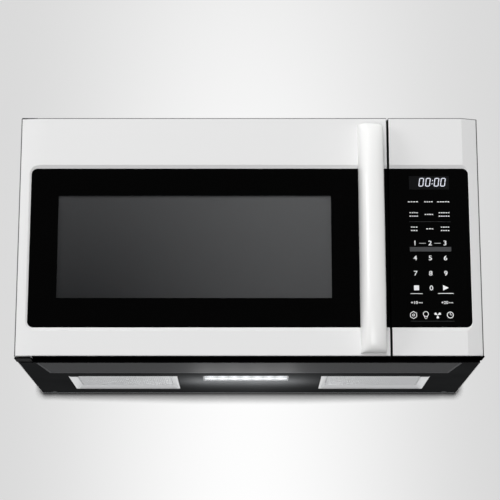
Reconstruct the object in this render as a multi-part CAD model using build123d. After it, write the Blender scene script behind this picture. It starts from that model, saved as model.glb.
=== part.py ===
from build123d import *

import math
import os

# An over the range microwave oven, hung under a wall cabinet. Sizes are in millimetres.
# X is the viewer's right, Y runs from the viewer to the wall, Z is up. The origin is the
# middle of the footprint, on the underside.

# Outside
FRONT_WIDTH = 759.0  # across the door and the control panel
CASE_INSET = 2.5  # side of the case, inside the front's edge
CASE_HEIGHT = 414.0
CASE_DEPTH = 332.0  # front plate to wall
DOOR_THICKNESS = 36.0
DOOR_GAP = 2.0  # from the closed door to the front plate
HANDLE_REACH = 38.0  # from the door's face to the front of its handle
FRONT_BOTTOM = 5.0  # lower edge of the door and the control panel
FRONT_BELOW_TOP = 8.0  # upper edge of the door, below the case top
PANEL_WIDTH = 148.6
SIDE_GAP = 2.6  # between the door and the control panel

# Walls and clearances
WRAP_SHEET = 1.0  # painted cover over the top and the sides
SHEET = 1.2  # the other steel sheets
MOULDED_WALL = 2.5  # sides of the plastic mouldings
FRONT_WALL = 3.0  # front of the plastic mouldings
RUNNING_FIT = 0.05  # round a pin, a shaft or an axle, on the radius
MOVING_GAP = 0.3  # between two pieces that move past each other
SEAT_GAP = 0.4  # round a piece that drops into an opening

# Shape of the front
FRAME_DEPTH = 22.0  # the door's white moulding, front to back
LEFT_CURVE = 44.0  # width of the curved left edge
LEFT_DROP = 4.0  # how far the left edge falls back
RIGHT_BEVEL = 26.5  # width of the bevelled right edge
RIGHT_DROP = 8.0  # how far the right edge falls back
EDGE_ROUND = 1.5
TRIM_THICKNESS = 1.4  # black strips under the door and the control panel
TRIM_SETBACK = 1.5

# Black glass band across the door and the control panel
BAND_LEFT_EDGE = 19.5  # from the front's left edge to the band
BAND_RIGHT_EDGE = 17.5
BAND_BOTTOM_EDGE = 46.9
BAND_TOP_EDGE = 86.7
BAND_RADIUS = 10.0
BAND_RECESS = 3.5
LIP_WIDTH = 5.5  # sloping edge of the moulding round the band
GLASS = 3.2
BED_WIDTH = 11.0  # moulding behind the band, beyond its outline
BED_LEDGE = 6.0  # moulding behind the band, inside its outline
BED_THICKNESS = 3.5
WINDOW_LEFT_BORDER = 45.7  # black border of the door's glass, left of its window
WINDOW_RIGHT_BORDER = 93.5
WINDOW_BOTTOM_BORDER = 48.8
WINDOW_TOP_BORDER = 45.7

# Oven cavity
CAVITY_LEFT_EDGE = 49.5  # from the front's left edge to the cavity
CAVITY_RIGHT_EDGE = 38.3  # from the cavity to the door's right edge
CAVITY_FLOOR = 60.0
SPACE_OVER_CAVITY = 104.0
CAVITY_BACK_GAP = 18.0  # from the cavity to the wall
LAMP_HOLES_IN = 69.0  # cavity lamp's middle, from the right wall and from the front plate
LAMP_HOLE_PITCH = 6.0
LAMP_HOLE_ROWS = 4
LAMP_HOLE_RADIUS = 1.6
LAMP_BOX = 32.0
CUTOUT_RADIUS = 8.0
CUTOUT_HEIGHT = 9.0
CHOKE_WIDTH = 22.0  # energy trap round the cavity's mouth, on the door
CHOKE_COVER = 1.5
INNER_GLASS = 3.0
SCREEN_MARGIN = 2.0  # hidden edge of the door's screen round the window
SCREEN_COLUMNS = 22
SCREEN_ROWS = 12
SCREEN_BAR = 5.0  # metal between two openings of the screen

# Turntable
TRAY_RADIUS = 150.0
TRAY_THICKNESS = 5.0
TRAY_RIM = 10.0
TRAY_SLOPE = 12.0  # width of the tray's rising edge
ROLLER_RADIUS = 7.0
ROLLER_WIDTH = 6.0
ROLLER_CIRCLE = 95.0  # radius of the track at the rollers' middle
ROLLER_COUNT = 3
ROLLER_AXLE = 1.5
AXLE_HEAD = 1.0
RING_WIDTH = 6.0
RING_HEIGHT = 5.0
COUPLER_SHAFT = 4.0
COUPLER_HOLE_GAP = 2.0
COUPLER_RADIUS = 18.0
COUPLER_LOBES = 3
LOBE_WIDTH = 8.0
LOBE_HEIGHT = 6.0
TURNTABLE_MOTOR_RADIUS = 26.0
TURNTABLE_MOTOR_HEIGHT = 24.0

# Door hinge
HINGE_EDGE = 10.0  # hinge axis from the door's left edge
HINGE_DEPTH = 14.0  # hinge axis behind the door's face
HINGE_PIN = 3.0
HINGE_PIN_LENGTH = 12.0
BUSH_RADIUS = 5.8
BUSH_LENGTH = 12.0
BRACKET_SHEET = 2.0
BRACKET_WIDTH = 26.0
BRACKET_FLANGE = 5.0
UPPER_BRACKET_LAP = 5.0  # from the hinge axis to the upper bracket's front edge, out of sight from below
COLUMN_WIDTH = 29.5  # closed hinge side of the door's moulding

# Handle
HANDLE_WIDTH = 40.5
HANDLE_EDGE = 7.8  # from the handle to the door's right edge
HANDLE_LOW_END = 4.0  # from the door's lower edge to the handle
HANDLE_HIGH_END = 13.0
HANDLE_END_REACH = 0.28  # the blade's reach at its ends, as a share of its reach at the middle
HANDLE_RISE_POWER = 0.8  # below 1, the reach grows faster near the ends
HANDLE_SECTIONS = 17
HANDLE_SOLID_END = 36.0
HANDLE_SCREW = 2.0
HANDLE_SCREW_BITE = 10.0
HANDLE_SCREW_INSET = 22.0  # screws from the handle's ends
HANDLE_SCREW_EDGE = 17.5  # screws from the handle's right edge

# The handle's section in plan, as shares of its width across and of its reach forward
HANDLE_CREST = 0.42  # across to the crest, outside and inside
HANDLE_TIP_REACH = 0.7
HANDLE_HEEL = 0.15  # across to the foot of the finger space
HANDLE_INNER_REACH = 0.86
HANDLE_INNER_TIP = 0.97
HANDLE_INNER_TIP_REACH = 0.58
HANDLE_MOUTH = 1.1  # how far right the finger space is cut

# Door key and its latch
KEY_EDGE = 7.3  # from the key to the door's right edge
KEY_WIDTH = 7.0
KEY_THICKNESS = 3.2
HOOK_WIDTH = 4.0
HOOK_HEIGHT = 8.0
HOOK_REACH = 16.0  # past the front plate
BARB_HEIGHT = 6.0
BARB_LENGTH = 6.0
KEY_TRAVEL = 5.0
LOWER_HOOK_RISE = 50.0  # lower hook above the cavity's floor
UPPER_HOOK_DROP = 30.0  # upper hook below the cavity's roof
KEY_OVERHANG = 15.0  # key beyond its hooks
LATCH_CLEARANCE = 2.5  # round a hook, at its sides
LATCH_END_GAP = 1.0  # above and below a hook's travel
LATCH_WALL = 8.0
LATCH_BACK = 16.0  # latch body behind its pockets
SPRING_LENGTH = 20.0
SPRING_RADIUS = 2.5
SPRING_BORE = 1.7
SWITCH_SIZE = (8.0, 28.0, 16.0)

# Underside
PANEL_FRONT_INSET = 29.0  # sloping-sided front panel from the case's side, at the front
PANEL_REAR_INSET = 40.0
PANEL_FRONT = 3.0  # from the front plate
PANEL_FRONT_GAP = 0.5  # from the panel's flange to the front plate
PANEL_REAR = 106.0
PANEL_FLANGE = 8.0
FILTER_FROM_SIDE = 67.0  # from a grease filter to the case's side
FILTER_WIDTH = 186.0
FILTER_FRONT = 141.4  # from the front plate
FILTER_LENGTH = 147.8
FILTER_THICKNESS = 8.0
FILTER_BORDER = 9.0
FILTER_LIFT = 0.8  # filter above the underside
FILTER_CLEARANCE = 0.8
TAB_LENGTH = 7.0
TAB_SHEET = 1.0
WELL_LEDGE = 6.0
MESH_THICKNESS = 3.0
MESH_COLUMNS = 15
MESH_ROWS = 12
MESH_WIRE = 3.0
LAMP_LEFT = -79.5
LAMP_RIGHT = 67.8
LAMP_FRONT = 138.0  # from the front plate
LAMP_LENGTH = 58.0
LAMP_HEIGHT = 22.0
LAMP_FLANGE = 3.0
LED_COUNT = 7
LED_PITCH = 20.0
LED_SIZE = 7.0
LED_HEIGHT = 2.0
BASE_SCREW_RADIUS = 6.0
BASE_SCREW_LENGTH = 12.0
BASE_SCREW_FROM_SIDE = 23.5
BASE_SCREW_FROM_WALL = 9.0

# Blower, exhaust and top vent
BLOWER_AXIS_FROM_WALL = 64.0
WHEEL_RADIUS = 36.0
WHEEL_WIDTH = 67.0
WHEEL_BLADES = 18
BLADE_DEPTH = 7.0
WHEEL_SHEET = 1.2
SCROLL_RADIUS = 41.0
SCROLL_INNER = 50.0  # inner end of a scroll, from the middle
SCROLL_OUTER = 125.0
SCROLL_FOOT = 1.0
INLET_RADIUS = 26.0
SPOUT_LENGTH = 60.0
BLOWER_MOTOR_RADIUS = 30.0
BLOWER_MOTOR_HALF = 45.0
BLOWER_SHAFT = 4.0
EXHAUST_WIDTH = 254.0
EXHAUST_LENGTH = 83.0
COLLAR_HEIGHT = 10.0
COLLAR_FLANGE = 8.0
FLAP_THICKNESS = 1.0
FLAP_DEPTH_BELOW_TOP = 6.0
FLAP_PIN = 1.5
FLAP_SLEEVE = 2.0
FLAP_GAP = 1.0  # round the flap inside the collar
STOP_WIDTH = 12.0
VENT_FROM_SIDE = 87.0
VENT_FRONT = 16.0  # from the front plate
VENT_LENGTH = 60.0
VENT_SHEET = 1.6
VENT_TRAY_DEPTH = 20.0
VENT_SLOTS = 28
VENT_SLOT_WIDTH = 8.0
VENT_CORNER = 8.0
CARBON_FRAME = 3.0

# Electronics bay, right of the cavity
SHELF_BELOW_FLOOR = 3.0  # shelf's underside below the cavity's floor
WAVEGUIDE_WIDTH = 90.0
WAVEGUIDE_HEIGHT = 80.0
WAVEGUIDE_DEPTH = 40.0
WAVEGUIDE_FROM_PLATE = 168.0  # middle of the waveguide, behind the front plate
WAVEGUIDE_RISE = 130.0  # middle of the waveguide, above the cavity's floor
MICA = 0.6
MICA_MARGIN = 7.0
ANTENNA_RADIUS = 8.0
ANTENNA_GAP = 2.0
ANTENNA_LENGTH = 26.0
MAGNETRON_SIZE = 80.0
MAGNETRON_LENGTH = 70.0
YOKE_SHEET = 2.0
FIN_SHEET = 1.0
MAGNETRON_RADIUS = 20.0
MAGNETRON_FINS = 7
CORE_SIZE = (100.0, 80.0, 70.0)
CORE_FROM_CAVITY = 85.0  # middle of the transformer
CORE_FROM_PLATE = 163.0
CORE_LEG = 15.0
WINDING_OVERHANG = 15.0
WINDING_GAP = 2.0  # between the two coils
CAPACITOR_SIZE = (34.0, 100.0, 54.0)
CAPACITOR_FROM_SIDE = 25.0
CAPACITOR_FROM_PLATE = 178.0
TAG_WIDTH = 6.3
TAG_LENGTH = 9.0
TAG_SHEET = 0.8
STRAP = 1.0
STRAP_WIDTH = 12.0
FAN_FROM_CAVITY = 95.0
FAN_FROM_WALL = 79.0
FAN_RADIUS = 46.0
FAN_OPENING = 50.0
FAN_HUB = 14.0
FAN_BLADES = 5
FAN_DEPTH = 20.0
FAN_PLATE = 2.0
FAN_BAR = 4.0
FAN_SHEET = 1.5
FAN_CHORD = 26.0
FAN_TWIST = 32.0  # degrees
FAN_PLATE_HALF = 59.0
FAN_SHAFT = 3.0
FAN_MOTOR_RADIUS = 22.0
FAN_MOTOR_LENGTH = 35.0
BOARD = 1.6
STANDOFF = 3.0
PILLAR_LENGTH = 10.0
FILTER_BOARD_SIZE = (140.0, 90.0)
FILTER_BOARD_BELOW_TOP = 44.0
CHOKE_RADIUS = 16.0
CHOKE_HEIGHT = 22.0
GROMMET_FROM_SIDE = 77.0
GROMMET_FROM_WALL = 34.0
GROMMET_RADIUS = 12.0
GROMMET_BORE = 4.5
GROMMET_FLANGE = 3.0

# Behind the control panel's glass
WIRING_INSET = 20.0  # wiring hole, from the panel's left edge and above the cavity
WIRING_WIDTH = 80.0
WIRING_HEIGHT = 40.0
KEYS_LEFT_EDGE = 27.1  # from the control panel's left edge to the touch film
KEYS_RIGHT_EDGE = 26.0  # from the touch film to the band's right edge
TOUCH_FILM = 0.5
DISPLAY_LEFT_EDGE = 31.1  # from the control panel's left edge to the display
DISPLAY_WIDTH = 70.0
DISPLAY_DROP = 10.3  # display below the band's top
DISPLAY_HEIGHT = 28.0
BOARD_BEHIND_BED = 5.5
PART_HEIGHT = 14.0
PILLAR_INSET = 9.0  # board's pillars from the edge of the glass bed's opening

# Fixing to the cabinet and the wall
BOLT_SPACING = 640.0
BOLT_HOLE = 5.5
BOLT_FROM_PLATE = 68.0
BOLT_PAD = 18.0
BOLT_PAD_SHEET = 2.5
WALL_SLOT_WIDTH = 30.0
WALL_SLOT_HEIGHT = 5.0
WALL_SLOT_X = 200.0
WALL_SLOT_Z = 14.0

# Places worked out from the sizes above
FRONT_X = FRONT_WIDTH / 2
CASE_X = FRONT_X - CASE_INSET
Y_WALL = (HANDLE_REACH + DOOR_THICKNESS + DOOR_GAP + CASE_DEPTH) / 2
Y_PLATE = Y_WALL - CASE_DEPTH
Y_INSIDE = Y_PLATE + SHEET
Y_DOOR_BACK = Y_PLATE - DOOR_GAP
Y_FACE = Y_DOOR_BACK - DOOR_THICKNESS
Y_FRAME_BACK = Y_FACE + FRAME_DEPTH
Y_GLASS = Y_FACE + BAND_RECESS
Y_GLASS_BACK = Y_GLASS + GLASS
Y_BED_BACK = Y_GLASS_BACK + BED_THICKNESS
PANEL_LEFT = FRONT_X - PANEL_WIDTH
DOOR_RIGHT = PANEL_LEFT - SIDE_GAP
FRONT_TOP = CASE_HEIGHT - FRONT_BELOW_TOP
FRONT_HEIGHT = FRONT_TOP - FRONT_BOTTOM
TOP_UNDERSIDE = CASE_HEIGHT - WRAP_SHEET
BAND_LEFT = -FRONT_X + BAND_LEFT_EDGE
BAND_RIGHT = FRONT_X - BAND_RIGHT_EDGE
BAND_BOTTOM = FRONT_BOTTOM + BAND_BOTTOM_EDGE
BAND_TOP = FRONT_TOP - BAND_TOP_EDGE
WINDOW_LEFT = BAND_LEFT + WINDOW_LEFT_BORDER
WINDOW_RIGHT = DOOR_RIGHT - WINDOW_RIGHT_BORDER
WINDOW_BOTTOM = BAND_BOTTOM + WINDOW_BOTTOM_BORDER
WINDOW_TOP = BAND_TOP - WINDOW_TOP_BORDER
HINGE_X = -FRONT_X + HINGE_EDGE
HINGE_Y = Y_FACE + HINGE_DEPTH
HANDLE_RIGHT = DOOR_RIGHT - HANDLE_EDGE
HANDLE_LEFT = HANDLE_RIGHT - HANDLE_WIDTH
HANDLE_BOTTOM = FRONT_BOTTOM + HANDLE_LOW_END
HANDLE_TOP = FRONT_TOP - HANDLE_HIGH_END
CAVITY_LEFT = -FRONT_X + CAVITY_LEFT_EDGE
CAVITY_RIGHT = DOOR_RIGHT - CAVITY_RIGHT_EDGE
CAVITY_TOP = CASE_HEIGHT - SPACE_OVER_CAVITY
CAVITY_ROOF = CAVITY_TOP + SHEET
KEY_LEFT = DOOR_RIGHT - KEY_EDGE - KEY_WIDTH
LOWER_HOOK = CAVITY_FLOOR + LOWER_HOOK_RISE
UPPER_HOOK = CAVITY_TOP - UPPER_HOOK_DROP
TURN_X = (CAVITY_LEFT + CAVITY_RIGHT) / 2
TURN_Y = (Y_PLATE + Y_WALL) / 2 - CAVITY_BACK_GAP / 2
ROLLER_Z = CAVITY_FLOOR + MOVING_GAP + ROLLER_RADIUS
TRAY_Z = ROLLER_Z + ROLLER_RADIUS + MOVING_GAP
PANEL_FRONT_HALF = CASE_X - PANEL_FRONT_INSET
PANEL_REAR_HALF = CASE_X - PANEL_REAR_INSET
FILTER_INNER = CASE_X - FILTER_FROM_SIDE - FILTER_WIDTH
BASE_SCREW_X = CASE_X - BASE_SCREW_FROM_SIDE
SHELF_TOP = CAVITY_FLOOR - SHELF_BELOW_FLOOR + SHEET
WAVEGUIDE_Y = Y_PLATE + WAVEGUIDE_FROM_PLATE
WAVEGUIDE_Z = CAVITY_FLOOR + WAVEGUIDE_RISE
CORE_X = CAVITY_RIGHT + CORE_FROM_CAVITY
CORE_Y = Y_PLATE + CORE_FROM_PLATE
CAPACITOR_X = CASE_X - CAPACITOR_FROM_SIDE
CAPACITOR_Y = Y_PLATE + CAPACITOR_FROM_PLATE
FAN_X = CAVITY_RIGHT + FAN_FROM_CAVITY
FAN_Y = Y_WALL - FAN_FROM_WALL
FAN_Z = WAVEGUIDE_Z
GROMMET_X = CASE_X - GROMMET_FROM_SIDE
DISPLAY_LEFT = PANEL_LEFT + DISPLAY_LEFT_EDGE
DISPLAY_BOTTOM = BAND_TOP - DISPLAY_DROP - DISPLAY_HEIGHT
KEYS_LEFT = PANEL_LEFT + KEYS_LEFT_EDGE
KEYS_RIGHT = BAND_RIGHT - KEYS_RIGHT_EDGE
BLOWER_Y = Y_WALL - BLOWER_AXIS_FROM_WALL
BLOWER_Z = CAVITY_ROOF + SCROLL_FOOT + SCROLL_RADIUS
COLLAR_BOTTOM = CASE_HEIGHT - COLLAR_HEIGHT
VENT_HALF = CASE_X - VENT_FROM_SIDE


def block(x0, x1, y0, y1, z0, z1):
    """A box between two corners."""
    centre = Pos((x0 + x1) / 2, (y0 + y1) / 2, (z0 + z1) / 2)
    return centre * Box(x1 - x0, y1 - y0, z1 - z0)


def rod_x(x0, x1, y, z, radius):
    """A round bar along X."""
    return Pos((x0 + x1) / 2, y, z) * Rot(0, 90, 0) * Cylinder(radius, x1 - x0)


def rod_y(x, y0, y1, z, radius):
    """A round bar along Y."""
    return Pos(x, (y0 + y1) / 2, z) * Rot(90, 0, 0) * Cylinder(radius, y1 - y0)


def rod_z(x, y, z0, z1, radius):
    """A round bar along Z."""
    return Pos(x, y, (z0 + z1) / 2) * Cylinder(radius, z1 - z0)


def facing(y):
    """A plane that faces the viewer at depth y, with its own y upwards."""
    return Plane(origin=(0, y, 0), x_dir=(1, 0, 0), z_dir=(0, -1, 0))


def save(node, *pieces):
    """Write one sub-part, as separate solids where it has more than one."""
    solids = [solid for piece in pieces for solid in piece.solids()]
    shape = solids[0] if len(solids) == 1 else Compound(solids)
    export_step(shape, f"parts/{node}.step")


def band(y_front, y_back, grow):
    """The glass band's outline between two depths, grown on every side."""
    outline = RectangleRounded(
        BAND_RIGHT - BAND_LEFT + 2 * grow,
        BAND_TOP - BAND_BOTTOM + 2 * grow,
        BAND_RADIUS + grow,
    )
    middle = Pos((BAND_LEFT + BAND_RIGHT) / 2, (BAND_BOTTOM + BAND_TOP) / 2)
    return extrude(facing(y_back) * middle * outline, y_back - y_front)


def band_lip():
    """The sloping edge that is cut round the band."""
    middle = Pos((BAND_LEFT + BAND_RIGHT) / 2, (BAND_BOTTOM + BAND_TOP) / 2)
    faces = []
    for y, grow in ((Y_GLASS, 0.0), (Y_FACE - BAND_RECESS, 2 * LIP_WIDTH)):
        outline = RectangleRounded(
            BAND_RIGHT - BAND_LEFT + 2 * grow,
            BAND_TOP - BAND_BOTTOM + 2 * grow,
            BAND_RADIUS + grow,
        )
        faces.append(facing(y) * middle * outline)
    return loft(faces)


def bedded_band(outer, x0, x1):
    """The band's bed inside a front moulding, and the recess, lip and opening cut in it."""
    bed = outer & block(
        max(x0, BAND_LEFT - BED_WIDTH),
        min(x1, BAND_RIGHT + BED_WIDTH),
        Y_FACE,
        Y_BED_BACK,
        BAND_BOTTOM - BED_WIDTH,
        BAND_TOP + BED_WIDTH,
    )
    opening = block(
        max(x0, BAND_LEFT) + BED_LEDGE,
        min(x1, BAND_RIGHT) - BED_LEDGE,
        Y_FACE,
        Y_BED_BACK + 1,
        BAND_BOTTOM + BED_LEDGE,
        BAND_TOP - BED_LEDGE,
    )
    return bed, band(Y_FACE - 1, Y_GLASS_BACK, 0.0), opening


def rounded_front(solid, seam_x):
    """Round the front edges of a moulding, apart from the seam where two fronts meet."""
    edges = []
    for edge in solid.edges():
        middle = edge.center()
        at_front = middle.Y < Y_FACE + RIGHT_DROP + 0.5
        if at_front and abs(middle.X - seam_x) > 0.5:
            edges.append(edge)
    return fillet(edges, EDGE_ROUND)


# ---- outside of the case ----
def outer_wrap():
    """White painted steel cover over the top and both sides, with pads at the cabinet bolts."""
    cover = block(-CASE_X, CASE_X, Y_INSIDE, Y_WALL, 0, CASE_HEIGHT)
    hollow_x = CASE_X - WRAP_SHEET
    cover -= block(-hollow_x, hollow_x, Y_INSIDE - 1, Y_WALL + 1, -1, TOP_UNDERSIDE)
    exhaust_x = EXHAUST_WIDTH / 2 + SEAT_GAP
    exhaust_y = EXHAUST_LENGTH / 2 + SEAT_GAP
    openings = [
        block(-exhaust_x, exhaust_x, BLOWER_Y - exhaust_y, BLOWER_Y + exhaust_y, TOP_UNDERSIDE, CASE_HEIGHT),
        block(
            -VENT_HALF, VENT_HALF, Y_PLATE + VENT_FRONT, Y_PLATE + VENT_FRONT + VENT_LENGTH,
            TOP_UNDERSIDE, CASE_HEIGHT,
        ),
        rod_z(GROMMET_X, Y_WALL - GROMMET_FROM_WALL, TOP_UNDERSIDE, CASE_HEIGHT, GROMMET_RADIUS),
    ]
    for opening in openings:
        cover -= opening
    for x in (-BOLT_SPACING / 2, BOLT_SPACING / 2):
        y = Y_PLATE + BOLT_FROM_PLATE
        cover += block(
            x - BOLT_PAD, x + BOLT_PAD, y - BOLT_PAD, y + BOLT_PAD,
            TOP_UNDERSIDE - BOLT_PAD_SHEET, TOP_UNDERSIDE,
        )
        cover -= rod_z(x, y, TOP_UNDERSIDE - BOLT_PAD_SHEET, CASE_HEIGHT, BOLT_HOLE)
    return cover


def back_plate():
    """Galvanised back, with two slots for the hooks of a wall plate."""
    inside = CASE_X - WRAP_SHEET
    plate = block(-inside, inside, Y_WALL - SHEET, Y_WALL, 0, TOP_UNDERSIDE)
    for x in (-WALL_SLOT_X, WALL_SLOT_X):
        plate -= block(
            x - WALL_SLOT_WIDTH / 2, x + WALL_SLOT_WIDTH / 2, Y_WALL - SHEET, Y_WALL,
            WALL_SLOT_Z, WALL_SLOT_Z + WALL_SLOT_HEIGHT,
        )
    return plate


def hook_slots(y0, y1):
    """Clearance round both hooks, over their travel."""
    slots = []
    for z in (LOWER_HOOK, UPPER_HOOK):
        slots.append(
            block(
                hook_left() - LATCH_CLEARANCE, hook_left() + HOOK_WIDTH + LATCH_CLEARANCE, y0, y1,
                z - LATCH_END_GAP, z + HOOK_HEIGHT + BARB_HEIGHT + KEY_TRAVEL + LATCH_END_GAP,
            )
        )
    return slots


def hook_left():
    """Left side of the hooks, which stand in the middle of the key."""
    return KEY_LEFT + (KEY_WIDTH - HOOK_WIDTH) / 2


def front_plate():
    """Painted steel front of the case, with the cavity's mouth and the openings beside it."""
    plate = block(-CASE_X, CASE_X, Y_PLATE, Y_INSIDE, 0, CASE_HEIGHT)
    plate -= block(CAVITY_LEFT, CAVITY_RIGHT, Y_PLATE, Y_INSIDE, CAVITY_FLOOR, CAVITY_TOP)
    for slot in hook_slots(Y_PLATE, Y_INSIDE):
        plate -= slot
    x0 = PANEL_LEFT + WIRING_INSET
    z0 = CAVITY_TOP + WIRING_INSET
    wiring = block(x0, x0 + WIRING_WIDTH, Y_PLATE, Y_INSIDE, z0, z0 + WIRING_HEIGHT)
    return plate - wiring


def front_panel_outline(grow, z0, z1):
    """The four-sided front panel of the underside, grown on every side."""
    y0 = Y_PLATE + PANEL_FRONT
    y1 = Y_PLATE + PANEL_REAR
    front_grow = min(grow, PANEL_FRONT - SHEET - PANEL_FRONT_GAP)
    corners = (
        (-PANEL_FRONT_HALF - grow, y0 - front_grow),
        (PANEL_FRONT_HALF + grow, y0 - front_grow),
        (PANEL_REAR_HALF + grow, y1 + grow),
        (-PANEL_REAR_HALF - grow, y1 + grow),
    )
    return Pos(0, 0, z0) * extrude(make_face(Polyline(*corners, close=True)), z1 - z0)


def filter_box(side, grow, z0, z1):
    """The outline of a grease filter, grown on every side; side is -1 or 1."""
    inner = FILTER_INNER - grow
    outer = FILTER_INNER + FILTER_WIDTH + grow
    y0 = Y_PLATE + FILTER_FRONT - grow
    y1 = Y_PLATE + FILTER_FRONT + FILTER_LENGTH + grow
    return block(min(side * inner, side * outer), max(side * inner, side * outer), y0, y1, z0, z1)


def lamp_box(grow, z0, z1):
    """The outline of the cooktop lamp's opening, grown on every side."""
    y0 = Y_PLATE + LAMP_FRONT
    return block(
        LAMP_LEFT - grow, LAMP_RIGHT + grow, y0 - grow, y0 + LAMP_LENGTH + grow, z0, z1,
    )


def base_plate():
    """Charcoal underside, with a well for each grease filter and the lamp's opening."""
    inside = CASE_X - WRAP_SHEET
    plate = block(-inside, inside, Y_INSIDE, Y_WALL - SHEET, 0, SHEET)
    plate -= front_panel_outline(SEAT_GAP, 0, SHEET)
    plate -= lamp_box(0, 0, SHEET)
    ledge = FILTER_LIFT + FILTER_THICKNESS + MOVING_GAP
    for side in (-1, 1):
        well = filter_box(side, FILTER_CLEARANCE + SHEET, 0, ledge + SHEET)
        well -= filter_box(side, FILTER_CLEARANCE, 0, ledge)
        well -= filter_box(side, FILTER_CLEARANCE - WELL_LEDGE, ledge, ledge + SHEET)
        plate -= filter_box(side, FILTER_CLEARANCE, 0, SHEET)
        plate += well
    for x in (-BASE_SCREW_X, BASE_SCREW_X):
        plate -= rod_z(x, Y_WALL - BASE_SCREW_FROM_WALL, 0, SHEET, BASE_SCREW_RADIUS + SEAT_GAP)
    return plate


def underside_front_panel():
    """Lighter charcoal panel that drops into the underside from above."""
    return front_panel_outline(0, 0, SHEET) + front_panel_outline(PANEL_FLANGE, SHEET, 2 * SHEET)


def base_screws():
    """Broad flat screws through the back corners of the underside."""
    screws = []
    for x in (-BASE_SCREW_X, BASE_SCREW_X):
        y = Y_WALL - BASE_SCREW_FROM_WALL
        head = rod_z(x, y, MOVING_GAP, SHEET, BASE_SCREW_RADIUS)
        washer = rod_z(x, y, SHEET, 2 * SHEET, BASE_SCREW_RADIUS + SHEET)
        shank = rod_z(x, y, 2 * SHEET, BASE_SCREW_LENGTH, BASE_SCREW_RADIUS / 3)
        screws.append(head + washer + shank)
    return screws


def grease_filter(side):
    """Aluminium filter: a frame with a pull tab, and the mesh that it holds."""
    top = FILTER_LIFT + FILTER_THICKNESS
    frame = filter_box(side, 0, FILTER_LIFT, top)
    frame -= filter_box(side, -FILTER_BORDER, FILTER_LIFT, top)
    tab_x = side * (FILTER_INNER + FILTER_WIDTH - 2 * FILTER_BORDER)
    tab_y = Y_PLATE + FILTER_FRONT + FILTER_BORDER
    frame += block(
        tab_x - FILTER_BORDER, tab_x + FILTER_BORDER, tab_y, tab_y + TAB_LENGTH,
        FILTER_LIFT, FILTER_LIFT + TAB_SHEET,
    )
    width = FILTER_WIDTH - 2 * FILTER_BORDER
    length = FILTER_LENGTH - 2 * FILTER_BORDER
    pitch_x = (width - MESH_WIRE) / MESH_COLUMNS
    pitch_y = (length - MESH_WIRE) / MESH_ROWS
    hole = Rectangle(pitch_x - MESH_WIRE, pitch_y - MESH_WIRE)
    net = Rectangle(width, length) - GridLocations(pitch_x, pitch_y, MESH_COLUMNS, MESH_ROWS) * hole
    middle_x = side * (FILTER_INNER + FILTER_WIDTH / 2)
    middle_y = Y_PLATE + FILTER_FRONT + FILTER_LENGTH / 2
    net_z = FILTER_LIFT + (FILTER_THICKNESS - MESH_THICKNESS) / 2
    mesh = Pos(middle_x, middle_y, net_z) * extrude(net, MESH_THICKNESS)
    return frame, mesh


# ---- cooktop lamp ----
def lamp_lens():
    """Clear lens that sits in the underside's opening."""
    return lamp_box(-SEAT_GAP, MOVING_GAP, SHEET) + lamp_box(LAMP_FLANGE, SHEET, 2 * SHEET)


def lamp_housing():
    """Tray over the lens that holds the lamp's board."""
    housing = lamp_box(LAMP_FLANGE + SEAT_GAP + SHEET, SHEET, LAMP_HEIGHT + SHEET)
    return housing - lamp_box(LAMP_FLANGE + SEAT_GAP, SHEET, LAMP_HEIGHT)


def lamp_board():
    """Board with a row of light-emitting diodes, screwed under the housing's roof."""
    board = lamp_box(-LAMP_FLANGE, LAMP_HEIGHT - BOARD, LAMP_HEIGHT)
    middle_x = (LAMP_LEFT + LAMP_RIGHT) / 2
    y = Y_PLATE + LAMP_FRONT + LAMP_LENGTH / 2
    face = LAMP_HEIGHT - BOARD
    half = LED_SIZE / 2
    leds = []
    for number in range(LED_COUNT):
        x = middle_x + (number - (LED_COUNT - 1) / 2) * LED_PITCH
        leds.append(block(x - half, x + half, y - half, y + half, face - LED_HEIGHT, face))
    return board, *leds


# ---- oven cavity ----
def oven_cavity():
    """Enamelled oven box, welded to the front plate."""
    back = Y_WALL - CAVITY_BACK_GAP
    box = block(
        CAVITY_LEFT - SHEET, CAVITY_RIGHT + SHEET, Y_INSIDE, back, CAVITY_FLOOR - SHEET, CAVITY_ROOF,
    )
    box -= block(CAVITY_LEFT, CAVITY_RIGHT, Y_INSIDE - 1, back - SHEET, CAVITY_FLOOR, CAVITY_TOP)
    box -= rod_z(TURN_X, TURN_Y, CAVITY_FLOOR - SHEET, CAVITY_FLOOR, COUPLER_SHAFT + COUPLER_HOLE_GAP)
    port_y = WAVEGUIDE_WIDTH / 2 - 2 * SHEET
    port_z = WAVEGUIDE_HEIGHT / 2 - 2 * SHEET
    box -= block(
        CAVITY_RIGHT, CAVITY_RIGHT + SHEET, WAVEGUIDE_Y - port_y, WAVEGUIDE_Y + port_y,
        WAVEGUIDE_Z - port_z, WAVEGUIDE_Z + port_z,
    )
    holes = Pos(CAVITY_RIGHT - LAMP_HOLES_IN, Y_PLATE + LAMP_HOLES_IN, CAVITY_ROOF - SHEET / 2)
    grid = GridLocations(LAMP_HOLE_PITCH, LAMP_HOLE_PITCH, LAMP_HOLE_ROWS, LAMP_HOLE_ROWS)
    return box - holes * grid * Cylinder(LAMP_HOLE_RADIUS, 2 * SHEET)


def mica_cover():
    """Mica sheet over the waveguide's port, inside the cavity."""
    half_y = WAVEGUIDE_WIDTH / 2 + MICA_MARGIN
    half_z = WAVEGUIDE_HEIGHT / 2 + MICA_MARGIN
    return block(
        CAVITY_RIGHT - MICA, CAVITY_RIGHT, WAVEGUIDE_Y - half_y, WAVEGUIDE_Y + half_y,
        WAVEGUIDE_Z - half_z, WAVEGUIDE_Z + half_z,
    )


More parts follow.
